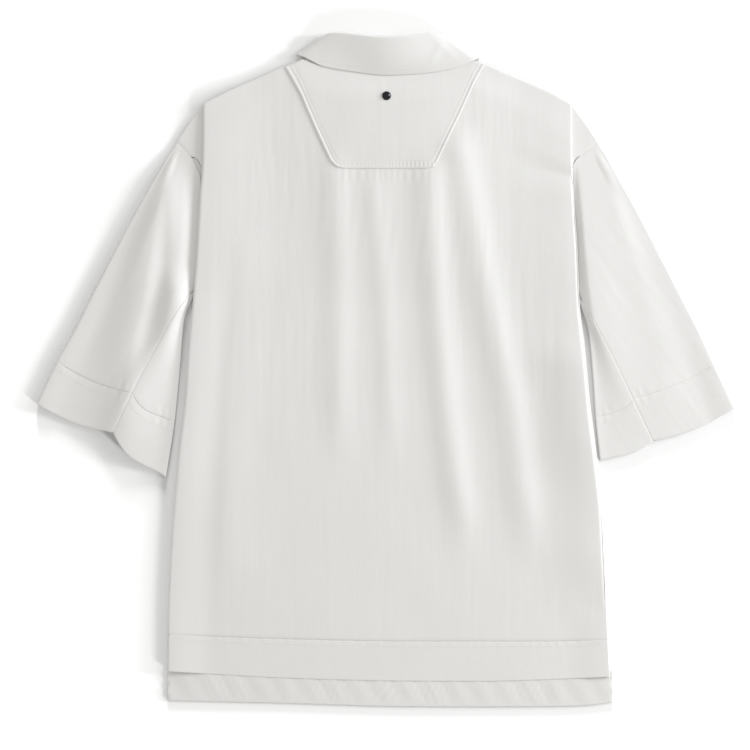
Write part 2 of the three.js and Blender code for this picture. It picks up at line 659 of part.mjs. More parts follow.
// One row of a sleeve, from its upper seam over the outer fold and round to the seam's other side
function sleeveRow(name, at) {
  const table = SLEEVES[name];
  const read = (column) => readTable(table, 'at', column, at);
  const outer = new THREE.Vector2(read('outerX'), read('outerY'));
  const seam = new THREE.Vector2(read('seamX'), read('seamY'));
  const inner = new THREE.Vector2(read('innerX'), read('innerY'));
  const closed = ramp(UNDERARM_AT, UNDERARM_AT + 0.1, at);
  const bow = 5 * ramp(0.3, 1, at);
  const across = outer.clone().sub(seam).normalize();
  const down = across.clone().rotateAround(new THREE.Vector2(), name === 'left' ? Math.PI / 2 : -Math.PI / 2);
  const innerRoll = mix(LAYER / 2, INNER_ROLL, ramp(0.5, 0.62, at));
  const main = (s) => {
    const bend = bow * Math.sin(Math.PI * s);
    return seam.clone().lerp(outer, s).addScaledVector(down, bend);
  };
  const lower = (s) => {
    const bend = 4 * Math.sin(Math.PI * s) * closed;
    return seam.clone().lerp(inner, s).addScaledVector(down, bend);
  };
  const towardOuter = new THREE.Vector3(across.x, across.y, 0);
  const acrossInner = inner.clone().sub(seam).normalize();
  const towardInner = new THREE.Vector3(acrossInner.x, acrossInner.y, 0);
  const up = new THREE.Vector3(0, 0, 1);
  const flat = (point, z) => new THREE.Vector3(point.x, point.y, z);
  const seamHalf = 0.35;
  const points = [];
  const length = seam.distanceTo(outer);
  const start = (seamHalf * closed) / length;
  for (const s of [0, 0.11, 0.22, 0.33, 0.47, 0.6, 0.73, 0.87, 1]) {
    const point = main(mix(start, 1 - (OUTER_ROLL + HALF) / length, s));
    const edge = ramp(0.69, 1, s);
    const z = mix(sleeveHeight(name, point.x, point.y), GROUND + 2 * OUTER_ROLL, edge);
    points.push(flat(point, z));
  }
  const outerCentre = flat(main(1 - (OUTER_ROLL + HALF) / length), GROUND + OUTER_ROLL);
  points.push(...rollPoints(outerCentre, towardOuter, up, OUTER_ROLL, 3, 1));
  for (const s of [0.97, 0.75, 0.5, 0.25]) points.push(flat(main(s), GROUND));
  const width = seam.distanceTo(inner);
  const foldStart = 1 - (innerRoll + HALF) / width;
  for (const s of [0.05, 0.5]) points.push(flat(lower(s * foldStart), GROUND));
  const underTop = GROUND + 2 * innerRoll;
  const turned = rollPoints(flat(lower(foldStart), GROUND + innerRoll), towardInner, up, innerRoll, 4, -1);
  const seamZ = sleeveHeight(name, seam.x, seam.y);
  const backZ = (t) => mix(seamZ, underTop, ramp(0, 0.9, t));
  const back = [0.97, 0.66, 0.33].map((t) => flat(lower(t * foldStart), backZ(t)));
  const joint = seam.clone().addScaledVector(acrossInner, seamHalf);
  const wrapped = [...turned, ...back, flat(joint, seamZ)];
  // Above the underarm the same points lie along the front armhole, because the sleeve is still open there
  const opened = wrapped.map((_, n) => flat(lower(mix(0.55, 1, n / (wrapped.length - 1))), GROUND));
  return [...points, ...(at > UNDERARM_AT ? wrapped : opened)];
}

function sleeve(name) {
  const rows = [0, 0.06, 0.12, 0.19, 0.26, 0.33, 0.4, UNDERARM_AT];
  rows.push(0.51, 0.57, 0.64, 0.71, 0.78, BAND_AT - BAND_GAP);
  return wallGeometry(rows.map((t) => sleeveRow(name, t)), evenWall, evenWall);
}

function sleeveBand(name) {
  const rows = [BAND_AT + BAND_GAP, 0.88, 0.92, 0.96, 1];
  return wallGeometry(rows.map((t) => sleeveRow(name, t)), evenWall, evenWall);
}

// Collar: stand from the neck seam to the roll, then the fall down to the free edge
function collar() {
  const steps = [];
  for (let row = 0; row < COLLAR.length - 1; row += 1) {
    steps.push(COLLAR[row].at, mix(COLLAR[row].at, COLLAR[row + 1].at, 0.5));
  }
  steps.push(1);
  const flatRows = COLLAR.map((row) => ({
    at: row.at,
    seamX: row.seam[0],
    seamY: row.seam[1],
    seamZ: row.seam[2],
    rollX: row.roll[0],
    rollY: row.roll[1],
    edgeX: row.edge[0],
    edgeY: row.edge[1],
    edgeZ: row.edge[2],
    side: row.side,
    apart: row.apart,
  }));
  const grid = steps.map((at) => {
    const read = (column) => readTable(flatRows, 'at', column, at);
    const seam = new THREE.Vector3(read('seamX'), read('seamY'), read('seamZ'));
    const edge = new THREE.Vector3(read('edgeX'), read('edgeY'), read('edgeZ'));
    const side = read('side');
    const flatSide = Math.sqrt(Math.max(0, 1 - side * side));
    const west = at < 0.5 ? -1 : 1;
    const outside = new THREE.Vector3(west * 0.72 * flatSide, 0.69 * flatSide, side).normalize();
    const apart = read('apart');
    const roll = new THREE.Vector3(read('rollX'), read('rollY'), seam.z);
    const forward = roll.clone().sub(seam).setZ(0).normalize();
    const radius = apart / 2;
    const rollStart = roll.clone().addScaledVector(forward, -radius - HALF);
    const fallStart = rollStart.clone().addScaledVector(outside, apart);
    const centre = rollStart.clone().addScaledVector(outside, radius);
    const turn = rollPoints(centre, forward, outside, radius, 3, -1);
    const stand = [0, 0.45, 0.9].map((t) => seam.clone().lerp(rollStart, t));
    const fall = [0.1, 0.4, 0.7, 1].map((t) => fallStart.clone().lerp(edge, t));
    return [...stand, ...turn, ...fall];
  });
  return wallGeometry(grid, evenWall, evenWall);
}

// Finishes
const cloth = new THREE.MeshStandardMaterial({ color: 0xf1f0ec, roughness: 0.85, metalness: 0 });
const bandCloth = new THREE.MeshStandardMaterial({ color: 0xf3f2ee, roughness: 0.85, metalness: 0 });
const buttonShell = new THREE.MeshStandardMaterial({ color: 0xe9e6de, roughness: 0.35, metalness: 0 });
const studMetal = new THREE.MeshStandardMaterial({ color: 0x3a3a3c, roughness: 0.3, metalness: 1 });

const shirt = new THREE.Group();

function add(name, geometry, material, place = [0, 0, 0]) {
  const mesh = new THREE.Mesh(geometry, material);
  mesh.name = name;
  mesh.position.set(...place);
  shirt.add(mesh);
}

add('front_panel', frontPanel(), cloth);
add('back_panel', backPanel(), cloth);
add('back_hem_band', backBand(), bandCloth);
add('back_yoke', yoke(), cloth);
for (const name of ['left', 'right']) {
  add(`sleeve_${name}`, sleeve(name), cloth);
  add(`sleeve_band_${name}`, sleeveBand(name), bandCloth);
}
add('collar', collar(), bandCloth);
add('placket_over', placketStrip(GROUND, PLACKET.half), cloth);
add('placket_under', placketStrip(SECOND, PLACKET.half - 1), cloth);
BUTTON.centres.forEach((centre, n) => add(`button_${n + 1}`, button(), buttonShell, [0, centre, 0]));
add('neck_stud', stud(), studMetal, [STUD.x, STUD.y, yokeHeight(STUD.x, STUD.y) + HALF + GAP]);

// The origin is the middle of the outline
shirt.position.set(OUTLINE_MIDDLE.x, OUTLINE_MIDDLE.y, 0);

export default shirt;
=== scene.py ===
"""Finishes a plain polo shirt that lies face down on a pale floor, so that its back shows.

Every cloth piece is a thin shell round a grid of middle points. The grids are worked out in
millimetres from the shirt's own tables, in a frame with the neck's centre line at x = 0. A pair
whose name ends in CLIMB or ACROSS says where a soft step begins and ends, along a piece or outwards
from its middle. PLEAT_REACH and RIGHT_FLATNESS hold the two values that a soft step joins.
"""

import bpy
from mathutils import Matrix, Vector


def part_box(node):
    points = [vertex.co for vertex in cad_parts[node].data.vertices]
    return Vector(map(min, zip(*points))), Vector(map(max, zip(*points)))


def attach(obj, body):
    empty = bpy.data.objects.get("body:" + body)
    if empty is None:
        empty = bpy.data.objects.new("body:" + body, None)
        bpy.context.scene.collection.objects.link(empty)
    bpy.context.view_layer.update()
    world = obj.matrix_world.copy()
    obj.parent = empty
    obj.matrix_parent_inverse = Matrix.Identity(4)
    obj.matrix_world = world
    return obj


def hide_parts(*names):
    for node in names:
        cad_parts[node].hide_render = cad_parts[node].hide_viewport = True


bl_info = {
    "name": "Polo Shirt Laid Flat",
    "version": (1, 0, 0),
    "blender": (4, 5, 0),
    "location": "View3D > Sidebar > Shirt",
    "description": "Builds the cloth, seams, stitching and trims of a polo shirt laid flat",
    "category": "Add Mesh",
}

import math

import bpy
import numpy as np
from mathutils import Vector

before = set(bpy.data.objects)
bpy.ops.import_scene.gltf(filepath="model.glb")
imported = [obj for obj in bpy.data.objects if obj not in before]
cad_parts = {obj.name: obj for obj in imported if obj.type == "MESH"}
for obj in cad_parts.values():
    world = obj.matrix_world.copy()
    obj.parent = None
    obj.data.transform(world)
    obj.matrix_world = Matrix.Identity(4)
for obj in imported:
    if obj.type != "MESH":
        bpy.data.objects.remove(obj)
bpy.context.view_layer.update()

MM = 0.001
OUTLINE_MIDDLE = np.array([0.1, 1.25, 0.0])

# Layers of cloth
WALL = 1.0
GAP = 0.3
LAYER = WALL + GAP
GROUND = WALL / 2
SECOND = GROUND + LAYER
THIRD = SECOND + LAYER
LEAF_LIFT = 1.6
NECK_STAND = GROUND + LEAF_LIFT
NECK_BACK = 3.7
FRONT_LIE = GROUND - 0.05
SLEEVE_LIE = 2.5

# Side pleat of the back: its depth, its rolls and how far its crest spreads over the back
PLEAT = 16
PLEAT_ROLL = 2.0
PLEAT_SEAM = 2.5
PLEAT_TIGHT = 0.55
PLEAT_REACH = (2.8, 5.5)
REACH_CLIMB = (60, 160)
CREST_HALF = 2
RIGHT_FLATNESS = (0.3, 0.8)
FLATNESS_CLIMB = (190, 215)
UNDER_COLUMNS = 9
INNER_COLUMNS = 6
OUTER_COLUMNS = 12
PLEAT_COLUMNS = UNDER_COLUMNS + INNER_COLUMNS + OUTER_COLUMNS

# Places up the shirt where its side changes
ARMHOLE_TURN = 196
SLEEVE_START = 221.6
CORNER_LOW = 222
TIP_Y = 237.5
SHOULDER_Y = 278
CORNER_RISE = 100
HEM_SIDE = -348
VALLEY_END = -80
LOWER_BODY = (60, 170)

# Lie of the back's upper cloth
BACK_LOW = 2.2
BACK_HIGH = 2.8
BACK_CLIMB = (-290, -180)
STACK_RISE = 1.3
STACK_ACROSS = (20, 115)
STACK_CLIMB = (60, 118)
BED_RISE = 1.0
BED_ACROSS = (90, 150)
BED_CLIMB = (205, 240)
NECK_ACROSS = (112, 150)
RIM_RISE = 0.25
RIM_FADE = 34

# Rows and columns of the grids
BACK_ROWS = 190
BACK_COLUMNS = 230
BAND_ROWS = 40
YOKE_ROWS = 110
YOKE_COLUMNS = 170
ARM_ROWS = 60
CUFF_ROWS = 70
CUFF_BAND_ROWS = 26
COLLAR_ROWS = 260
PLACKET_ROWS = 120
PLACKET_COLUMNS = 26

# Seams and hems
BAND_DEPTH = 42
GATHER_Y = 204
GATHER_ACROSS = (46, 56)
HEM_TURN = 33
HEM_ROLL = 0.56
HEM_PUCKER = 0.42
LIFT_CLIMB = (205, 228)
LIFT_ACROSS = (100, 116)

# Front's grid: rows below and above the slot's foot, columns beside it and across it
LOWER_ROWS = 112
UPPER_ROWS = 40
SIDE_COLUMNS = 60
SLOT_COLUMNS = 9

# Yoke: its rest on the back, and its edge's crest, grooves and stitches by distance in
YOKE_REST = 1.1
YOKE_EASE = 1.2
YOKE_ROUND = 1.6
YOKE_CREST = 1.1
YOKE_GROOVE = 3.1
YOKE_SEWN = 6.8
STITCH_IN = 7.4
STITCH_UP = 6.4

# Collar: the dome behind the neck, and the shares of its length where it turns to the front
COLLAR_DOME = 9.0
DOME_X = 8
DOME_REACH = 52
LEFT_ACROSS = (0.36, 0.42)
RIGHT_ACROSS = (0.58, 0.64)
CREASE_Y = 330
BEHIND_NECK = slice(100, 160)

# Placket, buttons and stud
PLACKET_HALF = 15.7
PLACKET_LOW = 115
PLACKET_HIGH = 264.6
SLOT_HALF = 16
BUTTON_RADIUS = 5.6
BUTTON_THICK = 1.6
BUTTON_PLACES = (250, 195, 140)
BED_INNER = BUTTON_RADIUS + 6.5
BED_OUTER = 24
STUD_X = 0.5
STUD_Y = 286.5
STUD_RADIUS = 4.6
STUD_HEIGHT = 2.6
STUD_SIDES = 48

# Stage: a floor just under the cloth, the lights' colours and the picture's middle in metres
FLOOR_HALF = 4000
FLOOR_GAP = 0.1
SKY_COLOUR = (1, 0.992, 0.972, 1)
KEY_COLOUR = (0.965, 0.978, 1)
KEY_PLACE = (2.2, 0.85, 0.84)
KEY_SIZE = 1.0
SUN_SIZE = 9
PICTURE_MIDDLE = (-0.01145, -0.00505)


def rows(names, *values):
    """A table: its named columns as arrays, from one tuple a row."""
    return dict(zip(names.split(), np.array(values, float).T))


BODY = rows(
    "y left right",
    (-355, -229, 238),
    (-326, -229, 235),
    (-263, -228.5, 232),
    (-200, -226, 229),
    (-137, -222, 226),
    (-85, -217.5, 220.5),
    (-32, -211, 214),
    (20, -207.5, 209),
    (73, -202.5, 203),
    (125, -198.5, 201),
    (178, -195.5, 197.5),
    (220, -192.5, 195.5),
    (278, -191.5, 195),
)
SHOULDER = rows(
    "x y",
    (-219.5, 237.5),
    (-207, 257),
    (-191.5, 278),
    (-165, 291.5),
    (-106, 317.5),
    (-88, 325),
    (-70, 319.5),
    (-45, 315.5),
    (0, 313),
    (45, 315.5),
    (72, 318.5),
    (92, 323.5),
    (103, 320),
    (172, 290),
    (195, 277),
    (210, 256),
    (222.5, 237.5),
)
FRONT_NECK = rows(
    "x y",
    (-88, 325),
    (-80, 317),
    (-67, 295),
    (-43, 274),
    (-16, 266.5),
    (16, 266.5),
    (43, 274),
    (68, 295),
    (82, 316),
    (92, 323.5),
)
NECK_EASE = 0.9
HEMS = rows(
    "x front back band",
    (-240, -347.5, -316, -278),
    (-195, -348.5, -319, -280),
    (-90, -351, -324.5, -283.5),
    (15, -354, -327, -285.5),
    (100, -354.4, -327.4, -285.6),
    (172, -354, -325.5, -285.5),
    (205, -353.3, -324, -285),
    (240, -349.3, -322.5, -284.5),
)
FRONT_SIDE = rows(
    "y left right",
    (-355, -229, 238),
    (-263, -228, 231.5),
    (-150, -222, 226),
    (-90, -212, 216),
    (-32, -204, 207),
    (40, -194, 196),
    (100, -187.4, 189.4),
    (165, -186.9, 189),
    (205, -189, 192),
    (222, -199, 202),
    (237.5, -219.5, 222.5),
)
FOLD_TOP = {"left": -191.5, "right": 195}
FOLD_FOOT = 230
YOKE = rows(
    "y left right",
    (210.6, -43, 43),
    (212.5, -52, 50.5),
    (219.5, -58.6, 54.5),
    (246, -71.2, 67),
    (318, -105.5, 103),
)
SIGN = {"left": -1, "right": 1}
HEM_BULGE = {"left": 11, "right": 5}
ARM_BULGE = 4
VALLEY = {"left": 13, "right": 6}
OUTER_ROLL = 2.1
INNER_ROLL = 1.1
SEAM_HALF = 0.35
SLEEVE_BOW = 5
SLEEVE_GRAIN = 38
UPPER_COLUMNS = 70
ROLL_COLUMNS = 10
LAYER_COLUMNS = 18
FOOT_COLUMNS = 10
WRAP_COLUMNS = 26
BAND_AT = 0.84
BAND_GAP = 0.0006
UNDERARM_AT = 0.46
CLOSED_AT = UNDERARM_AT + 0.1
SHUT_AT = UNDERARM_AT + 0.045
INNER_CLIMB = (0.5, 0.62)
SLEEVES = {
    "left": rows(
        "at outer_x outer_y seam_x seam_y inner_x inner_y",
        (0, -219.8, 237.3, -203.6, 221.2, -199.4, 221.6),
        (0.12, -240, 205.5, -194.6, 196, -190.4, 199),
        (0.25, -259, 172.5, -194.6, 160, -188.5, 161),
        (0.36, -276, 141.5, -196.8, 122, -189.5, 122),
        (UNDERARM_AT, -292, 111, -201, 87, -195.8, 87.6),
        (0.5, -298, 99.5, -205.8, 79, -203.6, 73.5),
        (0.58, -310, 76, -221, 58, -212, 50),
        (0.7, -328, 40, -240, 25, -216, 4),
        (BAND_AT, -346, 8, -266.5, -25, -222, -56),
        (1, -366.7, -36, -286, -66, -231, -113),
    ),
    "right": rows(
        "at outer_x outer_y seam_x seam_y inner_x inner_y",
        (0, 222.8, 237.3, 201.4, 221.2, 199.6, 221.2),
        (0.05, 231, 224, 196.2, 211.5, 192.6, 211),
        (0.12, 243, 204, 197, 196, 192.6, 199),
        (0.25, 261, 172.5, 197.6, 160, 190.5, 161),
        (0.36, 277.5, 141.5, 199.4, 122, 191.4, 122),
        (UNDERARM_AT, 293, 111, 201.8, 86, 193.8, 86),
        (0.5, 299, 99.5, 207, 70.5, 205, 65),
        (0.58, 311, 76, 220, 47, 212.4, 40),
        (0.7, 329, 41, 238, 13, 216.8, -6),
        (BAND_AT, 345, 6, 259, -31, 219.8, -52),
        (1, 366.5, -40, 280, -75, 224.6, -96),
    ),
}
COLLAR = rows(
    "at seam_x seam_y seam_z roll_x roll_y edge_x edge_y edge_z side apart",
    (0, -3.5, 266.8, NECK_STAND, -3.5, 275, -55.5, 247, 0.5, -1, 1.6),
    (0.12, -43, 274.4, NECK_STAND, -25, 293, -77.5, 261.5, 0.5, -1, 1.6),
    (0.24, -66.5, 295.6, NECK_STAND, -44, 318, -91, 287, 0.5, -1, 1.6),
    (0.32, -79.3, 317.6, NECK_STAND, -56, 342, -93.5, 316, 0.5, -0.9, 1.7),
    (0.36, -84.8, 326, 2.9, -59.5, 350.5, -94.5, 330.5, 2.2, -0.1, 2.3),
    (0.39, -80, 325, NECK_BACK, -58, 351, -86, 327.8, 5.9, 0.85, 2.9),
    (0.42, -70, 320.9, NECK_BACK, -46, 351.5, -66, 318, 7.0, 1, 3.1),
    (0.46, -40, 316.1, NECK_BACK, -25, 349.5, -32, 312, 7.1, 1, 3.1),
    (0.5, 0, 314, NECK_BACK, 0, 347.5, 0, 308.5, 7.2, 1, 3.1),
    (0.54, 40, 316.1, NECK_BACK, 25, 348.5, 34, 310, 7.1, 1, 3.1),
    (0.58, 70, 319.4, NECK_BACK, 45, 350.5, 68, 315, 7.0, 1, 3.1),
    (0.61, 84.3, 323.9, NECK_BACK, 57, 350.5, 90, 323, 6.2, 0.85, 2.9),
    (0.64, 88.5, 324.6, 2.9, 59.5, 349.5, 98, 327.5, 2.2, -0.1, 2.3),
    (0.68, 81, 316.6, NECK_STAND, 57, 341, 96.5, 314, 0.5, -0.9, 1.7),
    (0.76, 67.5, 295.6, NECK_STAND, 44, 318, 92, 286, 0.5, -1, 1.6),
    (0.88, 43, 274.4, NECK_STAND, 25, 293, 77.5, 261.5, 0.5, -1, 1.6),
    (1, 3.5, 266.8, NECK_STAND, 3.5, 275, 55.5, 247, 0.5, -1, 1.6),
)


def fold(height, west, east, *path):
    """A soft ridge: its crest's path upwards, its height, and its reach to each side in mm."""
    return {"path": rows("y x", *path), "height": height, "west": west, "east": east}


FADE_BELOW = 60
FADE_INSIDE = 40
FADE_TOP_INSIDE = 10
FADE_ABOVE = 35
BODY_FOLDS = (
    fold(3.4, 17, 15, (-160, 80), (-106, 72), (-32, 63), (41, 56), (125, 50), (205, 47)),
    fold(3.4, 20, 16, (-160, 148), (-106, 140), (-32, 130), (41, 114), (125, 97), (232, 78)),
    fold(2.2, 16, 14, (-60, -49), (41, -50), (125, -51), (205, -53)),
    fold(1.4, 12, 12, (-60, 4), (52, -1), (190, -14)),
    fold(1.8, 16, 26, (-210, -166), (-90, -165), (20, -158), (120, -150)),
    fold(4.2, 44, 20, (-110, 222), (-60, 214), (40, 204), (110, 199), (190, 197)),
    fold(4.6, 42, 20, (-230, 230), (-110, 220), (-60, 214), (10, 207)),
    fold(2.8, 150, 92, (120, 66), (320, 66)),
    fold(1.8, 20, 22, (-130, -218), (-60, -212), (40, -203), (150, -196), (240, -194)),
)
SLEEVE_FOLDS = {
    "left": (
        fold(7.6, 28, 16, (-75, -281), (20, -269), (72, -256), (114, -250), (190, -236), (240, -228)),
        fold(1.6, 8, 10, (72, -228), (120, -225), (190, -224)),
        fold(3.6, 17, 9, (30, -224), (46, -222), (88, -220), (150, -216), (215, -214)),
        fold(7.0, 14, 40, (-80, -292), (-66, -286), (-25, -266), (15, -245), (40, -232), (80, -220)),
    ),
    "right": (
        fold(4.4, 8, 52, (-60, 236), (-1, 227), (46, 220), (88, 214), (170, 207), (235, 204)),
        fold(1.6, 22, 30, (-70, 300), (0, 296), (60, 282), (130, 262), (200, 244)),
    ),
}


def ramp(low, high, value):
    """0 below low and 1 above high, with a smooth step 3t^2 - 2t^3 between."""
    t = np.clip((np.asarray(value, float) - low) / (high - low), 0, 1)
    return t * t * (3 - 2 * t)


def mix(a, b, t):
    """The value a share t of the way from a to b: a + (b - a) t."""
    return a + (b - a) * t


def bell(distance, reach):
    """1 at no distance, fading both ways: exp(-(distance / reach)^2)."""
    return np.exp(-((distance / reach) ** 2))


def read(table, key, column, at):
    """A column's value at a key, on cubics whose slopes are harmonic means of the chords'."""
    keys, values = table[key], table[column]
    place = np.clip(np.asarray(at, float), keys[0], keys[-1])
    row = np.clip(np.searchsorted(keys, place, side="right") - 1, 0, len(keys) - 2)
    chord = np.diff(values) / np.diff(keys)
    before = chord[np.maximum(row - 1, 0)]
    here = chord[row]
    after = chord[np.minimum(row + 1, len(chord) - 1)]
    span = keys[row + 1] - keys[row]
    t = (place - keys[row]) / span
    start = harmonic(before, here) * span
    end = harmonic(here, after) * span
    rise = t * t * (3 - 2 * t)
    bend = start * t * (1 - t) ** 2 - end * t * t * (1 - t)
    return mix(values[row], values[row + 1], rise) + bend


def harmonic(a, b):
    """Harmonic mean of two slopes, or 0 where they point opposite ways."""
    product = a * b
    total = np.where(product > 0, a + b, 1)
    return np.where(product > 0, 2 * product / total, 0)


def straight(table, key, column, at):
    """A column's value at a key, on straight lines between the rows."""
    return np.interp(at, table[key], table[column])


def rim(x):
    """The shoulder line and the back neck seam at x."""
    return straight(SHOULDER, "x", "y", x)


def folds_at(folds, x, y):
    """Sum of rounded ridges: height times the bell of the distance, faded at both ends."""
    total = 0
    for one in folds:
        path = one["path"]
        low, top = path["y"][0], path["y"][-1]
        off = x - read(path, "y", "x", y)
        reach = np.where(off < 0, one["west"], one["east"])
        fade = ramp(low - FADE_BELOW, low + FADE_INSIDE, y)
        fade = fade * (1 - ramp(top - FADE_TOP_INSIDE, top + FADE_ABOVE, y))
        total = total + one["height"] * fade * bell(off, reach)
    return total


def crinkle(x, y, seed, size):
    """Streaks along y: sines across x with unlike wavelengths, bent and faded slowly along y."""
    draw = np.random.default_rng(seed)
    total = 0
    for length in (7, 11, 16, 23, 37):
        phase, sway, swell = draw.uniform(0, 2 * math.pi, 3)
        drift = 2.2 * np.sin(y / (length * 4.1) + sway) + 1.3 * np.sin(y / (length * 1.9) + swell)
        fade = 0.5 + 0.5 * np.sin(y / (length * 2.7) + x / 61 + swell)
        total = total + length**0.5 * fade * np.sin(2 * math.pi * x / length + phase + drift)
    return size * total / 10


def back_height(x, y):
    """Height of the middle of the back's upper cloth over the layers beneath it.

    A slope up the shirt, the rise over the front's layers, the folds and the yoke's bed are summed,
    and fade to the shoulder line's or the neck seam's height at the rim.
    """
    across = np.abs(x)
    neck = 1 - ramp(*NECK_ACROSS, across)
    base = mix(BACK_LOW, BACK_HIGH, ramp(*BACK_CLIMB, y))
    stack = STACK_RISE * (1 - ramp(*STACK_ACROSS, across)) * ramp(*STACK_CLIMB, y)
    edge = mix(SECOND + RIM_RISE, NECK_BACK, neck)
    bed = BED_RISE * (1 - ramp(*BED_ACROSS, across)) * ramp(*BED_CLIMB, y)
    cloth = base + stack + folds_at(BODY_FOLDS, x, y) + bed
    return mix(edge, cloth, ramp(0, RIM_FADE, rim(x) - y))


def spread(count, crowd):
    """Values from 0 to 1, closer together near both ends as crowd grows."""
    t = np.linspace(0, 1, count)
    return mix(t, t * t * (3 - 2 * t), crowd)


def points(x, y, z):
    """Stacks three arrays, stretched to one shape, as points."""
    return np.stack(np.broadcast_arrays(x, y, z), -1).astype(float)


def normals(grid):
    """Unit normals of a grid of points: the cross product of its two central differences."""
    normal = np.cross(np.gradient(grid, axis=1), np.gradient(grid, axis=0))
    return normal / np.maximum(np.linalg.norm(normal, axis=-1, keepdims=True), 1e-9)


def shell(grid, wall, slot=None):
    """Closed shell: points half a wall out and in along their normals, and a half-round rim.

    A slot is open at the last row: its lowest row, and its first and last column.
    """
    count_rows, count_columns = grid.shape[:2]
    index = np.arange(count_rows * count_columns).reshape(count_rows, count_columns)
    flat, up = grid.reshape(-1, 3), normals(grid).reshape(-1, 3)
    top = index[-1, :0:-1]
    kept = np.ones((count_rows - 1, count_columns - 1), bool)
    if slot:
        low, first, last = slot
        kept[low:, first:last] = False
        round_slot = [index[-1, :last:-1], index[:low:-1, last], index[low, last:first:-1]]
        top = np.concatenate([*round_slot, index[low:-1, first], index[-1, first:0:-1]])
    ring = np.concatenate([index[0, :-1], index[:-1, -1], top, index[:0:-1, 0]])
    ahead = np.roll(flat[ring], -1, 0) - np.roll(flat[ring], 1, 0)
    side = np.cross(ahead, up[ring])
    side /= np.maximum(np.linalg.norm(side, axis=-1, keepdims=True), 1e-9)
    half = wall / 2
    angles = np.array([0.25, 0.5, 0.75]) * math.pi
    loops = [flat[ring] + half * (math.cos(a) * up[ring] + math.sin(a) * side) for a in angles]
    cloud = np.concatenate([flat + half * up, flat - half * up, *loops])
    size = len(flat)
    corner = index[:-1, :-1][kept]
    outer = np.stack([corner, corner + 1, corner + count_columns + 1, corner + count_columns], -1)
    round_edge = [2 * size + len(ring) * n + np.arange(len(ring)) for n in range(len(angles))]
    steps = [ring, *round_edge, ring + size]
    bands = [
        np.stack([np.roll(a, -1), a, b, np.roll(b, -1)], -1) for a, b in zip(steps[:-1], steps[1:])
    ]
    quads = np.concatenate([outer, outer[:, ::-1] + size, *bands])
    used, faces = np.unique(quads, return_inverse=True)
    return cloud[used], faces.reshape(-1, 4)


def stitches(path, pitch=2.9, length=2.1, thick=0.5):
    """Short threads along a path of points: each has three square rings, the middle one raised.

    The threads start at even distances along the path and follow its direction there.
    """
    run = np.concatenate([[0], np.cumsum(np.linalg.norm(np.diff(path, axis=0), axis=1))])
    start = np.arange(pitch / 2, run[-1] - length, pitch)

    def at(distance):
        """Points at these distances along the path."""
        return np.stack([np.interp(distance, run, path[:, n]) for n in range(3)], -1)

    first, last = at(start), at(start + length)
    ahead = (last - first) / np.linalg.norm(last - first, axis=1, keepdims=True)
    side = np.cross([0, 0, 1.0], ahead)
    side /= np.linalg.norm(side, axis=1, keepdims=True)
    up = np.cross(ahead, side)
    rings = []
    for t, size, lift in ((0, 0.5, -0.08), (0.5, 1, 0.12), (1, 0.5, -0.08)):
        middle = mix(first, last, t) + lift * up
        for a, b in ((-1, -1), (1, -1), (1, 1), (-1, 1)):
            rings.append(middle + size * thick / 2 * (a * side + b * 0.7 * up))
    cloud = np.stack(rings, 1).reshape(-1, 3)
    ring = np.arange(4)
    turn = np.roll(ring, -1)
    walls = [np.stack([ring + n, turn + n, turn + n + 4, ring + n + 4], -1) for n in (0, 4)]
    one = np.concatenate([*walls, ring[None, ::-1], ring[None] + 8])
    faces = (one[None] + 12 * np.arange(len(start))[:, None, None]).reshape(-1, 4)
    return cloud, faces


def sew(name, thread_paths):
    """One object of stitch rows along several paths."""
    clouds, faces, count = [], [], 0
    for path in thread_paths:
        cloud, quads = stitches(path)
        clouds.append(cloud)
        faces.append(quads + count)
        count += len(cloud)
    piece = make_mesh(name, np.concatenate(clouds), np.concatenate(faces))
    return dress(piece, material_of("Sewing thread"), "shirting")


def on_top(grid, rows_at, columns_at):
    """Points on the outer face of a grid's cloth, at whole rows and columns."""
    return (grid + normals(grid) * wall() / 2)[rows_at, columns_at]


def make_mesh(name, cloud, faces, middle=OUTLINE_MIDDLE):
    """Puts points in mm and faces with equal corner counts into a new smooth mesh object."""
    mesh = bpy.data.meshes.new(name)
    mesh.vertices.add(len(cloud))
    mesh.vertices.foreach_set("co", ((cloud + middle) * MM).astype(np.float32).ravel())
    mesh.loops.add(faces.size)
    mesh.loops.foreach_set("vertex_index", faces.astype(np.int32).ravel())
    mesh.polygons.add(len(faces))
    starts = np.arange(0, faces.size, faces.shape[1], dtype=np.int32)
    mesh.polygons.foreach_set("loop_start", starts)
    mesh.polygons.foreach_set("use_smooth", np.ones(len(faces), bool))
    mesh.update(calc_edges=True)
    mesh.validate()
    piece = bpy.data.objects.new(name, mesh)
    bpy.context.scene.collection.objects.link(piece)
    return piece


def dress(piece, material, slot, *nodes):
    """Gives a piece its material and its body, and hides the solids that it stands for; its slot is
    not used.
    """
    piece.data.materials.append(material)
    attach(piece, "root")
    if nodes:
        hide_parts(*nodes)
    return piece


def half_turn(steps):
    """Angles from 0 to pi at the middles of equal steps."""
    return math.pi * (np.arange(steps) + 0.5) / steps


def roll(centre, outward, radius, steps, start=-1):
    """Half a circle between layers: centre + radius (sin a outward + cos a start up)."""
    angle = half_turn(steps)
    shape = centre[:, None, :] + radius[:, None, None] * (
        np.sin(angle)[None, :, None] * outward[:, None, :]
    )
    shape[..., 2] += radius[:, None] * np.cos(angle)[None, :] * start
    return shape


def lower_body(y):
    """A soft step from 0 at the shirt's middle to 1 lower down, by the depth below y = 0."""
    return ramp(*LOWER_BODY, -np.asarray(y, float))


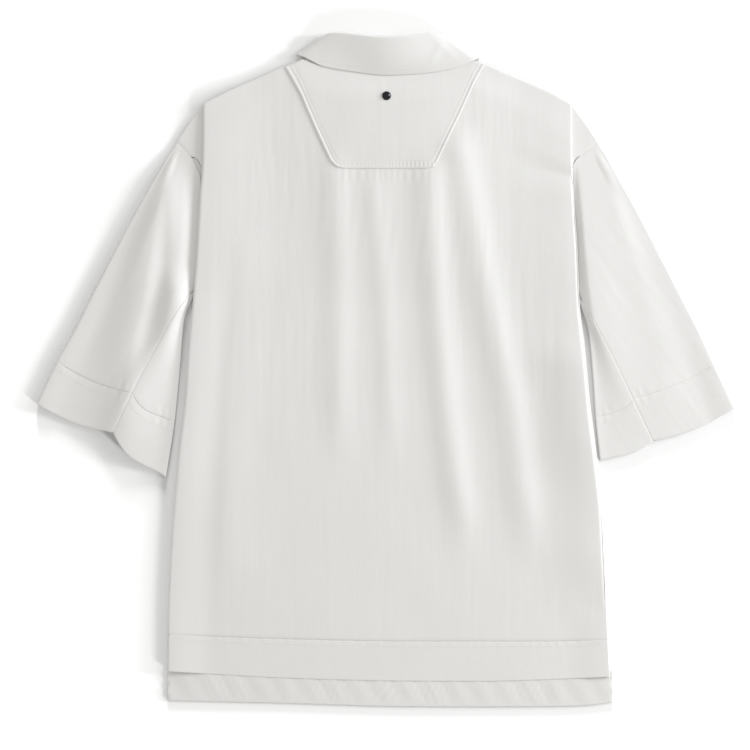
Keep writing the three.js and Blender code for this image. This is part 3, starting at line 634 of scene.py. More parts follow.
def pleat_side(name, along, low, high):
    """One side of the back: seam, hidden layer, inner roll, outer roll, for every row.

    The rolls are half circles. Above the armhole the seam moves out to the shoulder's tip.
    """
    sign = SIGN[name]
    edge_y = mix(low(sign * FOLD_FOOT), high(FOLD_TOP[name]), along)
    fold_x = read(BODY, "y", name, edge_y)
    tight = mix(1, PLEAT_TIGHT, lower_body(edge_y) + ramp(CORNER_LOW + 3, SHOULDER_Y, edge_y))
    in_x = fold_x - sign * PLEAT * tight
    dropped = ramp(ARMHOLE_TURN, TIP_Y - 0.5, edge_y)
    tip_x = SHOULDER["x"][0 if sign < 0 else -1]
    outwards = ramp(CORNER_LOW, SHOULDER_Y, edge_y)
    shown_x = mix(SLEEVES[name]["seam_x"][0] - sign * GAP * 2, tip_x, outwards)
    seam_x = mix(fold_x - sign * PLEAT_SEAM, shown_x, dropped)
    seam_y = mix(edge_y, mix(SLEEVE_START, TIP_Y, outwards), dropped)
    top_y = rim(FOLD_TOP[name])
    in_top_x = FOLD_TOP[name] - sign * PLEAT * PLEAT_TIGHT
    corner = ramp(0.9, 1, along) * ramp(CORNER_RISE, TIP_Y + 2.5, edge_y)
    t = np.linspace(0, 0.88, UNDER_COLUMNS)[None, :]
    bulge = rim(mix(tip_x, in_top_x, t)) - mix(rim(tip_x), top_y, t)
    under_x = mix(seam_x[:, None], in_x[:, None], t)
    under_y = mix(seam_y[:, None], edge_y[:, None], t) + corner[:, None] * bulge
    under = points(under_x, under_y, SECOND)
    out = np.tile([-sign, 0.0, 0.0], (len(along), 1))
    in_y = edge_y + corner * (rim(in_x) - top_y)
    small = np.full(len(along), (THIRD - SECOND) / 2)
    inner = roll(points(in_x, in_y, (SECOND + THIRD) / 2), out, small, INNER_COLUMNS)
    roundness = 1 if sign < 0 else mix(*RIGHT_FLATNESS, ramp(*FLATNESS_CLIMB, edge_y))
    thinner = mix(1, 0.6, lower_body(edge_y) + ramp(TIP_Y - 2.5, SHOULDER_Y, edge_y))
    radius = roundness * PLEAT_ROLL * thinner
    roll_x = fold_x - sign * (radius + WALL / 2)
    roll_y = edge_y + corner * (rim(roll_x) - top_y)
    outer = roll(points(roll_x, roll_y, THIRD + radius), -out, radius, OUTER_COLUMNS)
    return np.concatenate([under, inner, outer], axis=1), roll_x, THIRD + 2 * radius


def back_grid(along, low, high, columns, relief):
    """Rows of the back from seam to seam: pleat, upper cloth from left to right, pleat.

    The upper cloth is the back's height with its relief, raised to the pleats' crests near them.
    """
    west, west_x, west_z = pleat_side("left", along, low, high)
    east, east_x, east_z = pleat_side("right", along, low, high)
    x = mix(west_x[:, None], east_x[:, None], columns[None, :])
    y = mix(low(x), high(x), along[:, None])
    plain = back_height(x, y)
    reach = PLEAT * mix(*PLEAT_REACH, ramp(*REACH_CLIMB, y))
    near_west = 1 - ramp(CREST_HALF, reach, x - west_x[:, None])
    near_east = 1 - ramp(CREST_HALF, reach, east_x[:, None] - x)
    z = mix(plain, np.maximum(plain, west_z[:, None]), near_west)
    z = mix(z, np.maximum(plain, east_z[:, None]), near_east)
    z[:, 0] = west_z
    z[:, -1] = east_z
    inside = (1 - near_west) * (1 - near_east)
    z = z + relief(x, y) * inside
    return np.concatenate([west, points(x, y, z), east[:, ::-1]], axis=1)


def sleeve_height(name, x, y):
    """Height of a sleeve's upper cloth, which dips under the back's fold above the underarm."""
    cloth = SLEEVE_LIE + folds_at(SLEEVE_FOLDS[name], x, y) * mix(0.55, 1, ramp(-60, 60, y))
    valley = ramp(0, VALLEY[name], SIGN[name] * (x - read(BODY, "y", name, y)))
    return mix(SECOND, cloth, np.where(y < VALLEY_END, 1, valley))


def sleeve_grid(name, at, relief):
    """Rows of a sleeve: from its upper seam over the outer fold and round to the seam again.

    Each row runs on straight lines between the seam, the outer fold and the inner fold, bowed
    towards the cuff by a sine, with a half circle at each fold. Above the underarm the sleeve is
    open, so the part past the inner fold lies on the edge.
    """
    sign = SIGN[name]
    table = SLEEVES[name]

    def line(edge):
        """The seam or a folded edge of the sleeve, as one point for every row."""
        return points(read(table, "at", f"{edge}_x", at), read(table, "at", f"{edge}_y", at), 0)

    outer, seam, inner = line("outer"), line("seam"), line("inner")
    closed = ramp(UNDERARM_AT, CLOSED_AT, at)[:, None]
    bow = SLEEVE_BOW * ramp(0.3, 1, at)[:, None]
    hemwards = ramp(0.6, 1, at)[:, None]
    length = np.linalg.norm(outer - seam, axis=1, keepdims=True)
    width = np.linalg.norm(inner - seam, axis=1, keepdims=True)
    across = (outer - seam) / length
    inward = (inner - seam) / width
    down = np.stack([sign * across[:, 1], -sign * across[:, 0], across[:, 2]], -1)
    grow = ramp(0, 0.2, at)[:, None]
    outer_roll = mix(LAYER / 2, OUTER_ROLL, grow)
    inner_roll = mix(LAYER / 2, INNER_ROLL, ramp(*INNER_CLIMB, at))[:, None]

    def to_outer(s):
        """Points a share s of the way from the seam to the outer fold, bowed by a sine."""
        flat = mix(seam[:, None], outer[:, None], s[..., None])
        return flat + down[:, None] * (bow * np.sin(math.pi * s))[..., None]

    def to_inner(s):
        """Points a share s of the way from the seam to the inner fold, bowed more near the seam."""
        flat = mix(seam[:, None], inner[:, None], s[..., None])
        bulge = mix(ARM_BULGE, HEM_BULGE[name], hemwards) * closed * np.sin(math.pi * s)
        return flat + down[:, None] * (bulge * (1.25 - 1.1 * s))[..., None]

    # Upper cloth, from the seam to the outer fold
    far = 1 - (outer_roll + WALL / 2) / length
    steps = np.linspace(0, 1, UPPER_COLUMNS)[None, :]
    upper = to_outer(mix(SEAM_HALF * closed / length, far, steps))
    edge = ramp(0.69, 1, steps)
    x, y = upper[..., 0], upper[..., 1]
    upper[..., 2] = mix(sleeve_height(name, x, y), GROUND + 2 * outer_roll, edge)
    upper[..., 2] += relief(x, y) * ramp(0, 0.1, steps) * (1 - ramp(0.8, 0.97, steps))
    risen = mix(ramp(0, 0.3, at)[:, None], ramp(0, 0.1, at)[:, None], edge)
    upper[..., 2] = mix(SECOND, upper[..., 2], risen)
    upper[:, -1:, 2] = GROUND + 2 * outer_roll

    # Outer fold and the layer beneath, to the inner fold
    centre = to_outer(far)[:, 0]
    centre[:, 2] = GROUND + outer_roll[:, 0]
    turn = roll(centre, across, outer_roll[:, 0], ROLL_COLUMNS, 1)
    homeward = np.linspace(0.985, 0.1, LAYER_COLUMNS)
    under = to_outer(np.broadcast_to(homeward, (len(at), LAYER_COLUMNS)))
    under[..., 2] = GROUND
    fold_start = 1 - (inner_roll + WALL / 2) / width
    foot = to_inner(np.linspace(0.03, 0.96, FOOT_COLUMNS)[None, :] * fold_start)
    foot[..., 2] = GROUND

    # Inner fold and the cloth that comes back over it to the seam
    centre = to_inner(fold_start)[:, 0]
    centre[:, 2] = GROUND + inner_roll[:, 0]
    turned = roll(centre, inward, inner_roll[:, 0], ROLL_COLUMNS)
    seam_z = sleeve_height(name, seam[:, 0], seam[:, 1])[:, None]
    t = np.linspace(0.985, 0, WRAP_COLUMNS)[None, :]
    back = to_inner(mix(SEAM_HALF / width, fold_start, t))
    x, y = back[..., 0], back[..., 1]
    back[..., 2] = mix(seam_z, GROUND + 2 * inner_roll, ramp(0, 0.9, t))
    back[..., 2] += relief(x, y) * ramp(0, 0.2, t) * (1 - ramp(0.75, 0.97, t))
    wrapped = np.concatenate([turned, back], axis=1)
    count = wrapped.shape[1]
    flat_edge = to_inner(np.broadcast_to(np.linspace(0.97, 1, count), (len(at), count)))
    flat_edge[..., 2] = GROUND
    shut = ramp(UNDERARM_AT, SHUT_AT, at)[:, None, None]
    return np.concatenate([upper, turn, under, foot, mix(flat_edge, wrapped, shut)], axis=1)


def band_seam(grid, step, dip, gathers):
    """Draws the cloth in beside a sleeve band's seam: a dip at row 0 and gathers that fade off.

    The gathers are a swaying sine along the seam times the square of a slower one. A row is a step
    further off than the one before, and the upper cloth lies in two runs of columns.
    """
    off = step * np.arange(len(grid))[:, None]
    for columns in (slice(0, UPPER_COLUMNS - 2), slice(-WRAP_COLUMNS, None)):
        run = np.linalg.norm(np.diff(grid[0, columns], axis=0), axis=1).cumsum()
        run = np.concatenate([[0], run])[None, :]
        edge = ramp(0, 6, run) * (1 - ramp(run[0, -1] - 8, run[0, -1], run))
        gather = np.sin(run / 1.5 + 2 * np.sin(run / 8)) * (0.5 + 0.5 * np.sin(run / 14 + 1)) ** 2
        draw = gathers * gather * bell(off - 4, 3.5) - dip * bell(off, 2.0)
        grid[:, columns, 2] += edge * draw


def sleeve_relief(name, seed, size):
    """A sleeve's crinkle: streaks turned so that they run along the arm."""
    sign = SIGN[name]

    def relief(x, y):
        """The streaks at x and y, in a frame turned by an angle with cosine 0.8 and sine 0.6."""
        across = x * 0.8 + sign * y * 0.6
        along = y * 0.8 - sign * x * 0.6
        return crinkle(across, along, seed, size)

    return relief


def hem_pucker(x, above):
    """Slanted puckers along a hem: two sines across it, -1.5 to 1.5, that lean as they rise."""
    slant = x + 0.5 * above
    return np.sin(slant / 1.25 + 2 * np.sin(slant / 17)) + 0.5 * np.sin(slant / 4.1)


def collar_grid(at):
    """Rows of the collar: stand from the neck seam to the roll, then the fall to the free edge.

    Stand and fall are straight lines and the roll a half circle. Behind the neck the fall is raised
    by a dome, which is a bell across the shirt, and by two faint creases, which are slanted bells.
    """
    col = {key: read(COLLAR, "at", key, at) for key in COLLAR if key != "at"}
    seam = points(col["seam_x"], col["seam_y"], col["seam_z"])
    edge = points(col["edge_x"], col["edge_y"], col["edge_z"])
    level = np.sqrt(np.clip(1 - col["side"] ** 2, 0, 1))
    hand = np.where(at < 0.5, -1, 1)
    outside = points(hand * 0.72 * level, 0.69 * level, col["side"])
    outside /= np.linalg.norm(outside, axis=1, keepdims=True)
    behind = ramp(*LEFT_ACROSS, at) * (1 - ramp(*RIGHT_ACROSS, at))
    edge[:, 2] -= 1.0 * behind
    top = points(col["roll_x"], col["roll_y"] + 1.5 * behind, col["seam_z"])
    forward = (top - seam) * [1, 1, 0]
    forward /= np.linalg.norm(forward, axis=1, keepdims=True)
    radius = col["apart"][:, None] / 2
    stand_end = top - forward * (radius + WALL / 2)
    fall_start = stand_end + 2 * radius * outside
    angle = half_turn(10)
    centre = stand_end + radius * outside
    turn = centre[:, None] + radius[:, None] * (
        np.sin(angle)[None, :, None] * forward[:, None]
        - np.cos(angle)[None, :, None] * outside[:, None]
    )
    stand = mix(seam[:, None], stand_end[:, None], np.linspace(0, 0.97, 14)[None, :, None])
    t = np.linspace(0.03, 1, 30)[None, :]
    fall = mix(fall_start[:, None], edge[:, None], t[..., None])
    x, y = fall[..., 0], fall[..., 1]
    dome = COLLAR_DOME * bell(x - DOME_X, DOME_REACH) * (1 - t**2)
    above = y - CREASE_Y
    creases = 0.4 * bell(x - 52 - 0.5 * above, 4) + 0.35 * bell(x - 68 + above, 4)
    fall[..., 2] += behind[:, None] * (dome + creases * np.sin(math.pi * t))
    crest = behind * COLLAR_DOME * bell(top[:, 0] - DOME_X, DOME_REACH)
    turn[..., 2] += crest[:, None] * np.sin(angle / 2) ** 2
    return np.concatenate([stand, turn, fall], axis=1)


# Materials


def node_group(name, inputs, outputs):
    """A new shader node group with its sockets, as the group and its input and output nodes."""
    group = bpy.data.node_groups.new(name, "ShaderNodeTree")
    for label, kind, value in inputs:
        socket = group.interface.new_socket(label, in_out="INPUT", socket_type=kind)
        if value is not None:
            socket.default_value = value
    for label, kind in outputs:
        group.interface.new_socket(label, in_out="OUTPUT", socket_type=kind)
    return group, group.nodes.new("NodeGroupInput"), group.nodes.new("NodeGroupOutput")


def woven_group():
    """Cloth: a plain weave, slubs and fine creases as one height, and a mottle for the colour."""
    group, source, sink = node_group(
        "Woven cotton",
        (
            ("Vector", "NodeSocketVector", None),
            ("Thread Scale", "NodeSocketFloat", 900.0),
            ("Crease Scale", "NodeSocketFloat", 110.0),
            ("Weave", "NodeSocketFloat", 0.25),
            ("Crease", "NodeSocketFloat", 1.0),
        ),
        (("Height", "NodeSocketFloat"), ("Mottle", "NodeSocketFloat")),
    )
    nodes, links = group.nodes, group.links

    def waves(direction):
        """Fine bands one way across the cloth: one set of threads."""
        wave = nodes.new("ShaderNodeTexWave")
        wave.bands_direction = direction
        wave.inputs["Distortion"].default_value = 1.2
        wave.inputs["Detail"].default_value = 1.0
        links.new(source.outputs["Vector"], wave.inputs["Vector"])
        links.new(source.outputs["Thread Scale"], wave.inputs["Scale"])
        return wave.outputs["Fac"]

    def noise(stretch, detail, scale_from):
        """Noise drawn out along the grain by a stretch on each axis."""
        mapping = nodes.new("ShaderNodeMapping")
        mapping.inputs["Scale"].default_value = stretch
        texture = nodes.new("ShaderNodeTexNoise")
        texture.inputs["Detail"].default_value = detail
        texture.inputs["Roughness"].default_value = 0.55
        links.new(source.outputs["Vector"], mapping.inputs["Vector"])
        links.new(mapping.outputs["Vector"], texture.inputs["Vector"])
        links.new(source.outputs[scale_from], texture.inputs["Scale"])
        return texture.outputs["Fac"]

    def maths(operation, first, second):
        """One sum or product of two values or sockets."""
        node = nodes.new("ShaderNodeMath")
        node.operation = operation
        for n, value in enumerate((first, second)):
            if isinstance(value, (int, float)):
                node.inputs[n].default_value = value
            else:
                links.new(value, node.inputs[n])
        return node.outputs[0]

    weave = maths("MULTIPLY", waves("X"), waves("Y"))
    weave = maths("MULTIPLY", weave, source.outputs["Weave"])
    long_crease = noise((1.0, 0.06, 1.0), 2.0, "Crease Scale")
    round_crease = noise((0.2, 0.12, 0.2), 1.0, "Crease Scale")
    creases = maths("ADD", long_crease, maths("MULTIPLY", round_crease, 0.5))
    creases = maths("MULTIPLY", creases, source.outputs["Crease"])
    links.new(maths("ADD", weave, creases), sink.inputs["Height"])
    links.new(round_crease, sink.inputs["Mottle"])
    return group


def cloth_material(name, colour, shade, turn, crease, depth):
    """Matt cotton: weave and crease bump along the cloth's grain, and a faint mottle."""
    material = bpy.data.materials.new(name)
    material.use_nodes = True
    nodes, links = material.node_tree.nodes, material.node_tree.links
    shader = nodes["Principled BSDF"]
    shader.inputs["Roughness"].default_value = 0.88
    shader.inputs["Specular IOR Level"].default_value = 0.25
    shader.inputs["Sheen Weight"].default_value = 0.12
    shader.inputs["Sheen Roughness"].default_value = 0.5
    place = nodes.new("ShaderNodeTexCoord")
    mapping = nodes.new("ShaderNodeMapping")
    mapping.inputs["Rotation"].default_value[2] = math.radians(turn)
    woven = nodes.new("ShaderNodeGroup")
    woven.node_tree = bpy.data.node_groups.get("Woven cotton") or woven_group()
    woven.inputs["Crease"].default_value = crease
    blend = nodes.new("ShaderNodeMix")
    blend.data_type = "RGBA"
    blend.inputs["A"].default_value = (*shade, 1)
    blend.inputs["B"].default_value = (*colour, 1)
    bump = nodes.new("ShaderNodeBump")
    bump.inputs["Strength"].default_value = 1.0
    bump.inputs["Distance"].default_value = depth * MM
    links.new(place.outputs["Object"], mapping.inputs["Vector"])
    links.new(mapping.outputs["Vector"], woven.inputs["Vector"])
    links.new(woven.outputs["Mottle"], blend.inputs["Factor"])
    links.new(blend.outputs["Result"], shader.inputs["Base Color"])
    links.new(woven.outputs["Height"], bump.inputs["Height"])
    links.new(bump.outputs["Normal"], shader.inputs["Normal"])
    return material


def smooth_material(name, colour, roughness, metallic, scratch):
    """Hard trim: one colour with a fine uneven gloss from noise."""
    material = bpy.data.materials.new(name)
    material.use_nodes = True
    nodes, links = material.node_tree.nodes, material.node_tree.links
    shader = nodes["Principled BSDF"]
    shader.inputs["Base Color"].default_value = (*colour, 1)
    shader.inputs["Metallic"].default_value = metallic
    place = nodes.new("ShaderNodeTexCoord")
    grain = nodes.new("ShaderNodeTexNoise")
    grain.inputs["Scale"].default_value = scratch
    spread_out = nodes.new("ShaderNodeMapRange")
    spread_out.inputs["To Min"].default_value = roughness - 0.08
    spread_out.inputs["To Max"].default_value = roughness + 0.1
    links.new(place.outputs["Object"], grain.inputs["Vector"])
    links.new(grain.outputs["Fac"], spread_out.inputs["Value"])
    links.new(spread_out.outputs["Result"], shader.inputs["Roughness"])
    return material


def material_of(name):
    """The shirt's materials by name, made when first asked for."""
    colours = bpy.context.scene.shirt_colours
    cloth, shade = tuple(colours.cloth), tuple(colours.cloth_shade)
    creases = bpy.context.scene.shirt_cloth

    def cotton(turn, crease=creases.crease, depth=creases.bump):
        """The shirt's cloth with its grain turned, in degrees."""
        return cloth_material(name, cloth, shade, turn, crease, depth)

    recipes = {
        "Cotton body": lambda: cotton(0),
        "Cotton left sleeve": lambda: cotton(SLEEVE_GRAIN),
        "Cotton right sleeve": lambda: cotton(-SLEEVE_GRAIN),
        "Pressed cotton": lambda: cotton(90, crease=0.4),
        "Sewing thread": lambda: cotton(0, crease=0.2, depth=0.05),
        "Button shell": lambda: smooth_material(name, tuple(colours.button), 0.3, 0, 300),
        "Dark metal": lambda: smooth_material(name, tuple(colours.stud), 0.28, 1, 500),
    }
    return bpy.data.materials.get(name) or recipes[name]()


# Settings


class ShirtCloth(bpy.types.PropertyGroup):
    """The cloth's thickness and relief"""

    wall: bpy.props.FloatProperty(
        name="Cloth thickness",
        description="Thickness of one layer in mm",
        default=0.86,
        min=0.3,
        max=1,
    )
    crinkle: bpy.props.FloatProperty(
        name="Crinkle",
        description="Height of the streaks in the body's cloth in mm",
        default=0.1,
        min=0,
    )
    crease: bpy.props.FloatProperty(
        name="Fine crease",
        description="Strength of the fine creases in the bump",
        default=1.0,
        min=0,
    )
    bump: bpy.props.FloatProperty(
        name="Bump depth",
        description="Depth of weave and fine creases in mm",
        default=0.22,
        min=0,
    )
    piping: bpy.props.FloatProperty(
        name="Yoke edge",
        description="Height of the yoke's raised edge in mm",
        default=0.36,
        min=0,
    )


class ShirtColours(bpy.types.PropertyGroup):
    """Colours of the cloth, the trims and the floor"""

    cloth: bpy.props.FloatVectorProperty(
        name="Cloth",
        description="Colour of the cotton",
        subtype="COLOR",
        default=(0.803, 0.797, 0.784),
    )
    cloth_shade: bpy.props.FloatVectorProperty(
        name="Cloth shade",
        description="Darker tone of its mottle",
        subtype="COLOR",
        default=(0.768, 0.762, 0.748),
    )
    button: bpy.props.FloatVectorProperty(
        name="Buttons",
        description="Colour of the buttons",
        subtype="COLOR",
        default=(0.8, 0.78, 0.72),
    )
    stud: bpy.props.FloatVectorProperty(
        name="Stud",
        description="Colour of the stud's metal",
        subtype="COLOR",
        default=(0.035, 0.035, 0.04),
    )
    floor: bpy.props.FloatVectorProperty(
        name="Floor",
        description="Colour of the floor",
        subtype="COLOR",
        default=(0.62, 0.62, 0.62),
    )


class ShirtStage(bpy.types.PropertyGroup):
    """The camera and the lights"""

    camera_height: bpy.props.FloatProperty(
        name="Camera height",
        description="Height of the camera over the shirt",
        default=6,
        unit="LENGTH",
    )
    frame_width: bpy.props.FloatProperty(
        name="Frame width",
        description="Width that the picture shows",
        default=0.7875,
        unit="LENGTH",
    )
    key: bpy.props.FloatProperty(
        name="Key light", description="Power of the soft light in W", default=56
    )
    sky: bpy.props.FloatProperty(
        name="Sky light", description="Strength of the even light", default=0.715
    )
    floor_right: bpy.props.FloatProperty(
        name="Floor light right",
        description="Strength of the low light that only the floor takes",
        default=4.0,
    )
    floor_top: bpy.props.FloatProperty(
        name="Floor light top",
        description="Strength of the second low light on the floor",
        default=6.5,
    )
    floor_below: bpy.props.FloatProperty(
        name="Floor light below",
        description="Strength of the third low light on the floor",
        default=3.5,
    )


def wall():
    """Thickness of one layer of cloth in mm, from the settings."""
    return bpy.context.scene.shirt_cloth.wall


def aim(light, place):
    """Hangs a light at a place, turned to the middle of the shirt."""
    lamp = bpy.data.objects.new(light.name, light)
    lamp.location = place
    lamp.rotation_euler = (-Vector(place)).to_track_quat("-Z", "Y").to_euler()
    bpy.context.scene.collection.objects.link(lamp)
    return lamp


# Operators


class SHIRT_OT_back(bpy.types.Operator):
    """Make the back panel and its hem band"""

    bl_idname = "shirt.back"
    bl_label = "Back"

    def execute(self, context):
        size = context.scene.shirt_cloth.crinkle
        columns = spread(BACK_COLUMNS, 0.3)

        def band(x):
            """The seam between the panel and its hem band at x."""
            return read(HEMS, "x", "band", x)

        def hem(x):
            """The back's lower edge at x."""
            return read(HEMS, "x", "back", x)

        def relief(x, y):
            """Streaks, the gathers below the yoke and the dip beside the hem band's seam."""
            gather = 0.18 * np.sin(x / 1.15 + 2 * np.sin(x / 9)) * bell(y - GATHER_Y, 7)
            gather = gather * (1 - ramp(*GATHER_ACROSS, np.abs(x)))
            seam = -0.1 * bell(y - band(x), 1.6)
            streaks = crinkle(x, y, 3, size) * ramp(0, 40, rim(x) - y)
            return streaks * mix(0.35, 1, ramp(-150, 100, y)) + gather + seam

        rows_up = np.linspace(0, 1, BACK_ROWS)
        grid = back_grid(rows_up, lambda x: band(x) + GAP, rim, columns, relief)
        panel = make_mesh("back_panel_cloth", *shell(grid, wall()))
        dress(panel, material_of("Cotton body"), "shirting", "back_panel")

        def band_relief(x, y):
            """The hem band's puckers and streaks, and its deep dip beside the seam."""
            depth = (band(x) - y) / BAND_DEPTH
            pucker = 0.12 * np.sin(x / 1.7 + 2 * np.sin(x / 13)) * bell(depth, 0.12)
            return pucker + crinkle(x, y, 5, 0.4 * size) - 0.55 * bell(depth, 0.05)

        rows_up = np.linspace(0, 1, BAND_ROWS)
        grid = back_grid(rows_up, hem, lambda x: band(x) - GAP, columns, band_relief)
        inside = PLEAT_COLUMNS + 2
        seam_paths = [on_top(grid, row, slice(inside, -inside)) for row in (-3, -6)]
        sew("hem_band_stitches", seam_paths)
        strip = make_mesh("back_hem_band_cloth", *shell(grid, wall()))
        dress(strip, material_of("Pressed cotton"), "band_cloth", "back_hem_band")
        return {"FINISHED"}


class SHIRT_OT_front(bpy.types.Operator):
    """Make the hidden front panel with its neckline, placket slot and turned hem"""

    bl_idname = "shirt.front"
    bl_label = "Front"

    def execute(self, context):
        hem_middle = read(HEMS, "x", "front", 0)
        neck_middle = FRONT_NECK["y"].min() - NECK_EASE
        slot_at = (PLACKET_LOW - GAP - hem_middle) / (neck_middle - hem_middle)
        below = np.linspace(0, slot_at, LOWER_ROWS)[:-1]
        t = np.concatenate([below, np.linspace(slot_at, 1, UPPER_ROWS)])[:, None]
        west_tip, east_tip = SHOULDER["x"][0], SHOULDER["x"][-1]
        left = -np.linspace(SLOT_HALF, -west_tip, SIDE_COLUMNS)[::-1]
        right = np.linspace(SLOT_HALF, east_tip, SIDE_COLUMNS)
        middle = np.linspace(-SLOT_HALF, SLOT_HALF, SLOT_COLUMNS)[1:-1]
        top_x = np.concatenate([left, middle, right])[None, :]
        s = (top_x - west_tip) / (east_tip - west_tip)
        edge_y = mix(HEM_SIDE, TIP_Y, t)
        west = read(FRONT_SIDE, "y", "left", edge_y)
        east = read(FRONT_SIDE, "y", "right", edge_y)
        x = mix(west, east, s)
        hem = read(HEMS, "x", "front", x)
        in_neck = (top_x > FRONT_NECK["x"][0]) & (top_x < FRONT_NECK["x"][-1])
        top = np.where(in_neck, read(FRONT_NECK, "x", "y", top_x) - NECK_EASE, rim(top_x))
        y = mix(hem + HEM_ROLL, top, t)
        z = FRONT_LIE + LEAF_LIFT * ramp(*LIFT_CLIMB, y) * (1 - ramp(*LIFT_ACROSS, np.abs(x)))
        turn = np.linspace(math.pi, 0, 9)[:-1, None]
        fold_y = hem[:1] + HEM_ROLL * (1 - np.sin(turn))
        fold_z = FRONT_LIE + HEM_ROLL * (1 - np.cos(turn))
        up = np.linspace(1, 0.02, 26)[:, None]
        hem_y = hem[:1] + HEM_ROLL + (HEM_TURN - HEM_ROLL) * up
        pucker = HEM_PUCKER * hem_pucker(x[:1], HEM_TURN * up) * np.sin(math.pi * up) ** 0.5
        hem_z = FRONT_LIE + 2 * HEM_ROLL + pucker
        turned = np.concatenate([points(x[:1], hem_y, hem_z), points(x[:1], fold_y, fold_z)])
        slot_west = SIDE_COLUMNS - 1
        slot = (len(turned) + LOWER_ROWS - 1, slot_west, slot_west + SLOT_COLUMNS - 1)
        grid = np.concatenate([turned, points(x, y, z)])
        piece = make_mesh("front_panel_cloth", *shell(grid, wall(), slot))
        dress(piece, material_of("Cotton body"), "shirting", "front_panel")
        sew("front_hem_stitches", [on_top(turned, 1, slice(2, -2))])
        return {"FINISHED"}


class SHIRT_OT_yoke(bpy.types.Operator):
    """Make the yoke that lies on the back, with its raised edge"""

    bl_idname = "shirt.yoke"
    bl_label = "Yoke"

    def execute(self, context):
        low, high = YOKE["y"][0], YOKE["y"][-1]
        t = spread(YOKE_ROWS, 0.3)[:, None]
        s = spread(YOKE_COLUMNS, 0.3)[None, :]
        edge_y = mix(low, high, t)
        west = straight(YOKE, "y", "left", edge_y)
        east = straight(YOKE, "y", "right", edge_y)
        x = mix(west, east, s)
        y = mix(low, rim(x) - YOKE_EASE, t)
        sides = np.minimum(x - west, east - x) * 0.9
        near_edge = np.exp(-sides / YOKE_ROUND) + np.exp(-(y - low) / YOKE_ROUND)
        inset = -YOKE_ROUND * np.log(near_edge)
        at_side = mix(0.45, 1, ramp(-6, 12, y - low - sides))
        raised = context.scene.shirt_cloth.piping * at_side * bell(inset - YOKE_CREST, 0.9)
        groove = -0.24 * at_side * bell(inset - YOKE_GROOVE, 0.9)
        groove = groove - 0.16 * bell(inset - YOKE_SEWN, 0.8) - 0.4 * bell(y - low, 1.6)
        pucker = np.sin(x / 0.62 + 2.4 * np.sin(x / 11)) * bell(y - low - 4, 3.2)
        pucker = pucker * (0.4 + 0.6 * ramp(-10, 30, x))
        z = back_height(x, y) + YOKE_REST + raised + groove + 0.16 * pucker
        z = z + crinkle(x, y, 11, 0.3 * context.scene.shirt_cloth.crinkle) * ramp(5, 12, inset)
        piece = make_mesh("back_yoke_cloth", *shell(points(x, y, z), wall()))
        dress(piece, material_of("Cotton body"), "shirting", "back_yoke")
        side_y = np.linspace(high - 6, low + STITCH_UP, 60)
        left_x = straight(YOKE, "y", "left", side_y) + STITCH_IN
        right_x = straight(YOKE, "y", "right", side_y) - STITCH_IN
        foot_x = np.linspace(left_x[-1], right_x[-1], 60)[1:-1]
        path_x = np.concatenate([left_x, foot_x, right_x[::-1]])
        path_y = np.concatenate([side_y, np.full(len(foot_x), side_y[-1]), side_y[::-1]])
        path_z = back_height(path_x, path_y) + YOKE_REST + wall() / 2 - 0.1
        sew("yoke_stitches", [points(path_x, path_y, path_z)])
        return {"FINISHED"}


class SHIRT_OT_sleeves(bpy.types.Operator):
    """Make both sleeves and the bands round their cuffs"""

    bl_idname = "shirt.sleeves"
    bl_label = "Sleeves"

    def execute(self, context):
        size = context.scene.shirt_cloth.crinkle
        for name, seed, gathers in (("left", 20, 0.3), ("right", 21, 0.15)):
            relief = sleeve_relief(name, seed, 0.4 * size)
            arm = np.linspace(0, UNDERARM_AT, ARM_ROWS)[:-1]
            at = np.concatenate([arm, np.linspace(UNDERARM_AT, BAND_AT - BAND_GAP, CUFF_ROWS)])
            grid = sleeve_grid(name, at, relief)
            band_seam(grid[::-1], step=1.67, dip=0.1, gathers=gathers)
            piece = make_mesh(f"sleeve_{name}_cloth", *shell(grid, wall()))
            dress(piece, material_of(f"Cotton {name} sleeve"), "shirting", f"sleeve_{name}")
            at = np.linspace(BAND_AT + BAND_GAP, 1, CUFF_BAND_ROWS)
            grid = sleeve_grid(name, at, relief)
            band_seam(grid, step=1.8, dip=0.6, gathers=gathers)
            upper, wrapped = slice(0, UPPER_COLUMNS + 6), slice(1 - WRAP_COLUMNS, None)
            paths = [on_top(grid, row, columns) for row in (1, 4) for columns in (upper, wrapped)]
            sew(f"sleeve_band_{name}_stitches", paths)
            piece = make_mesh(f"sleeve_band_{name}_cloth", *shell(grid, wall()))
            dress(piece, material_of(f"Cotton {name} sleeve"), "band_cloth", f"sleeve_band_{name}")
        return {"FINISHED"}


class SHIRT_OT_collar(bpy.types.Operator):
    """Make the folded collar"""

    bl_idname = "shirt.collar"
    bl_label = "Collar"

    def execute(self, context):
        grid = collar_grid(np.linspace(0, 1, COLLAR_ROWS))
        sew("collar_stitches", [on_top(grid, BEHIND_NECK, -5)])
        piece = make_mesh("collar_cloth", *shell(grid, wall()))
        dress(piece, material_of("Pressed cotton"), "band_cloth", "collar")
        return {"FINISHED"}


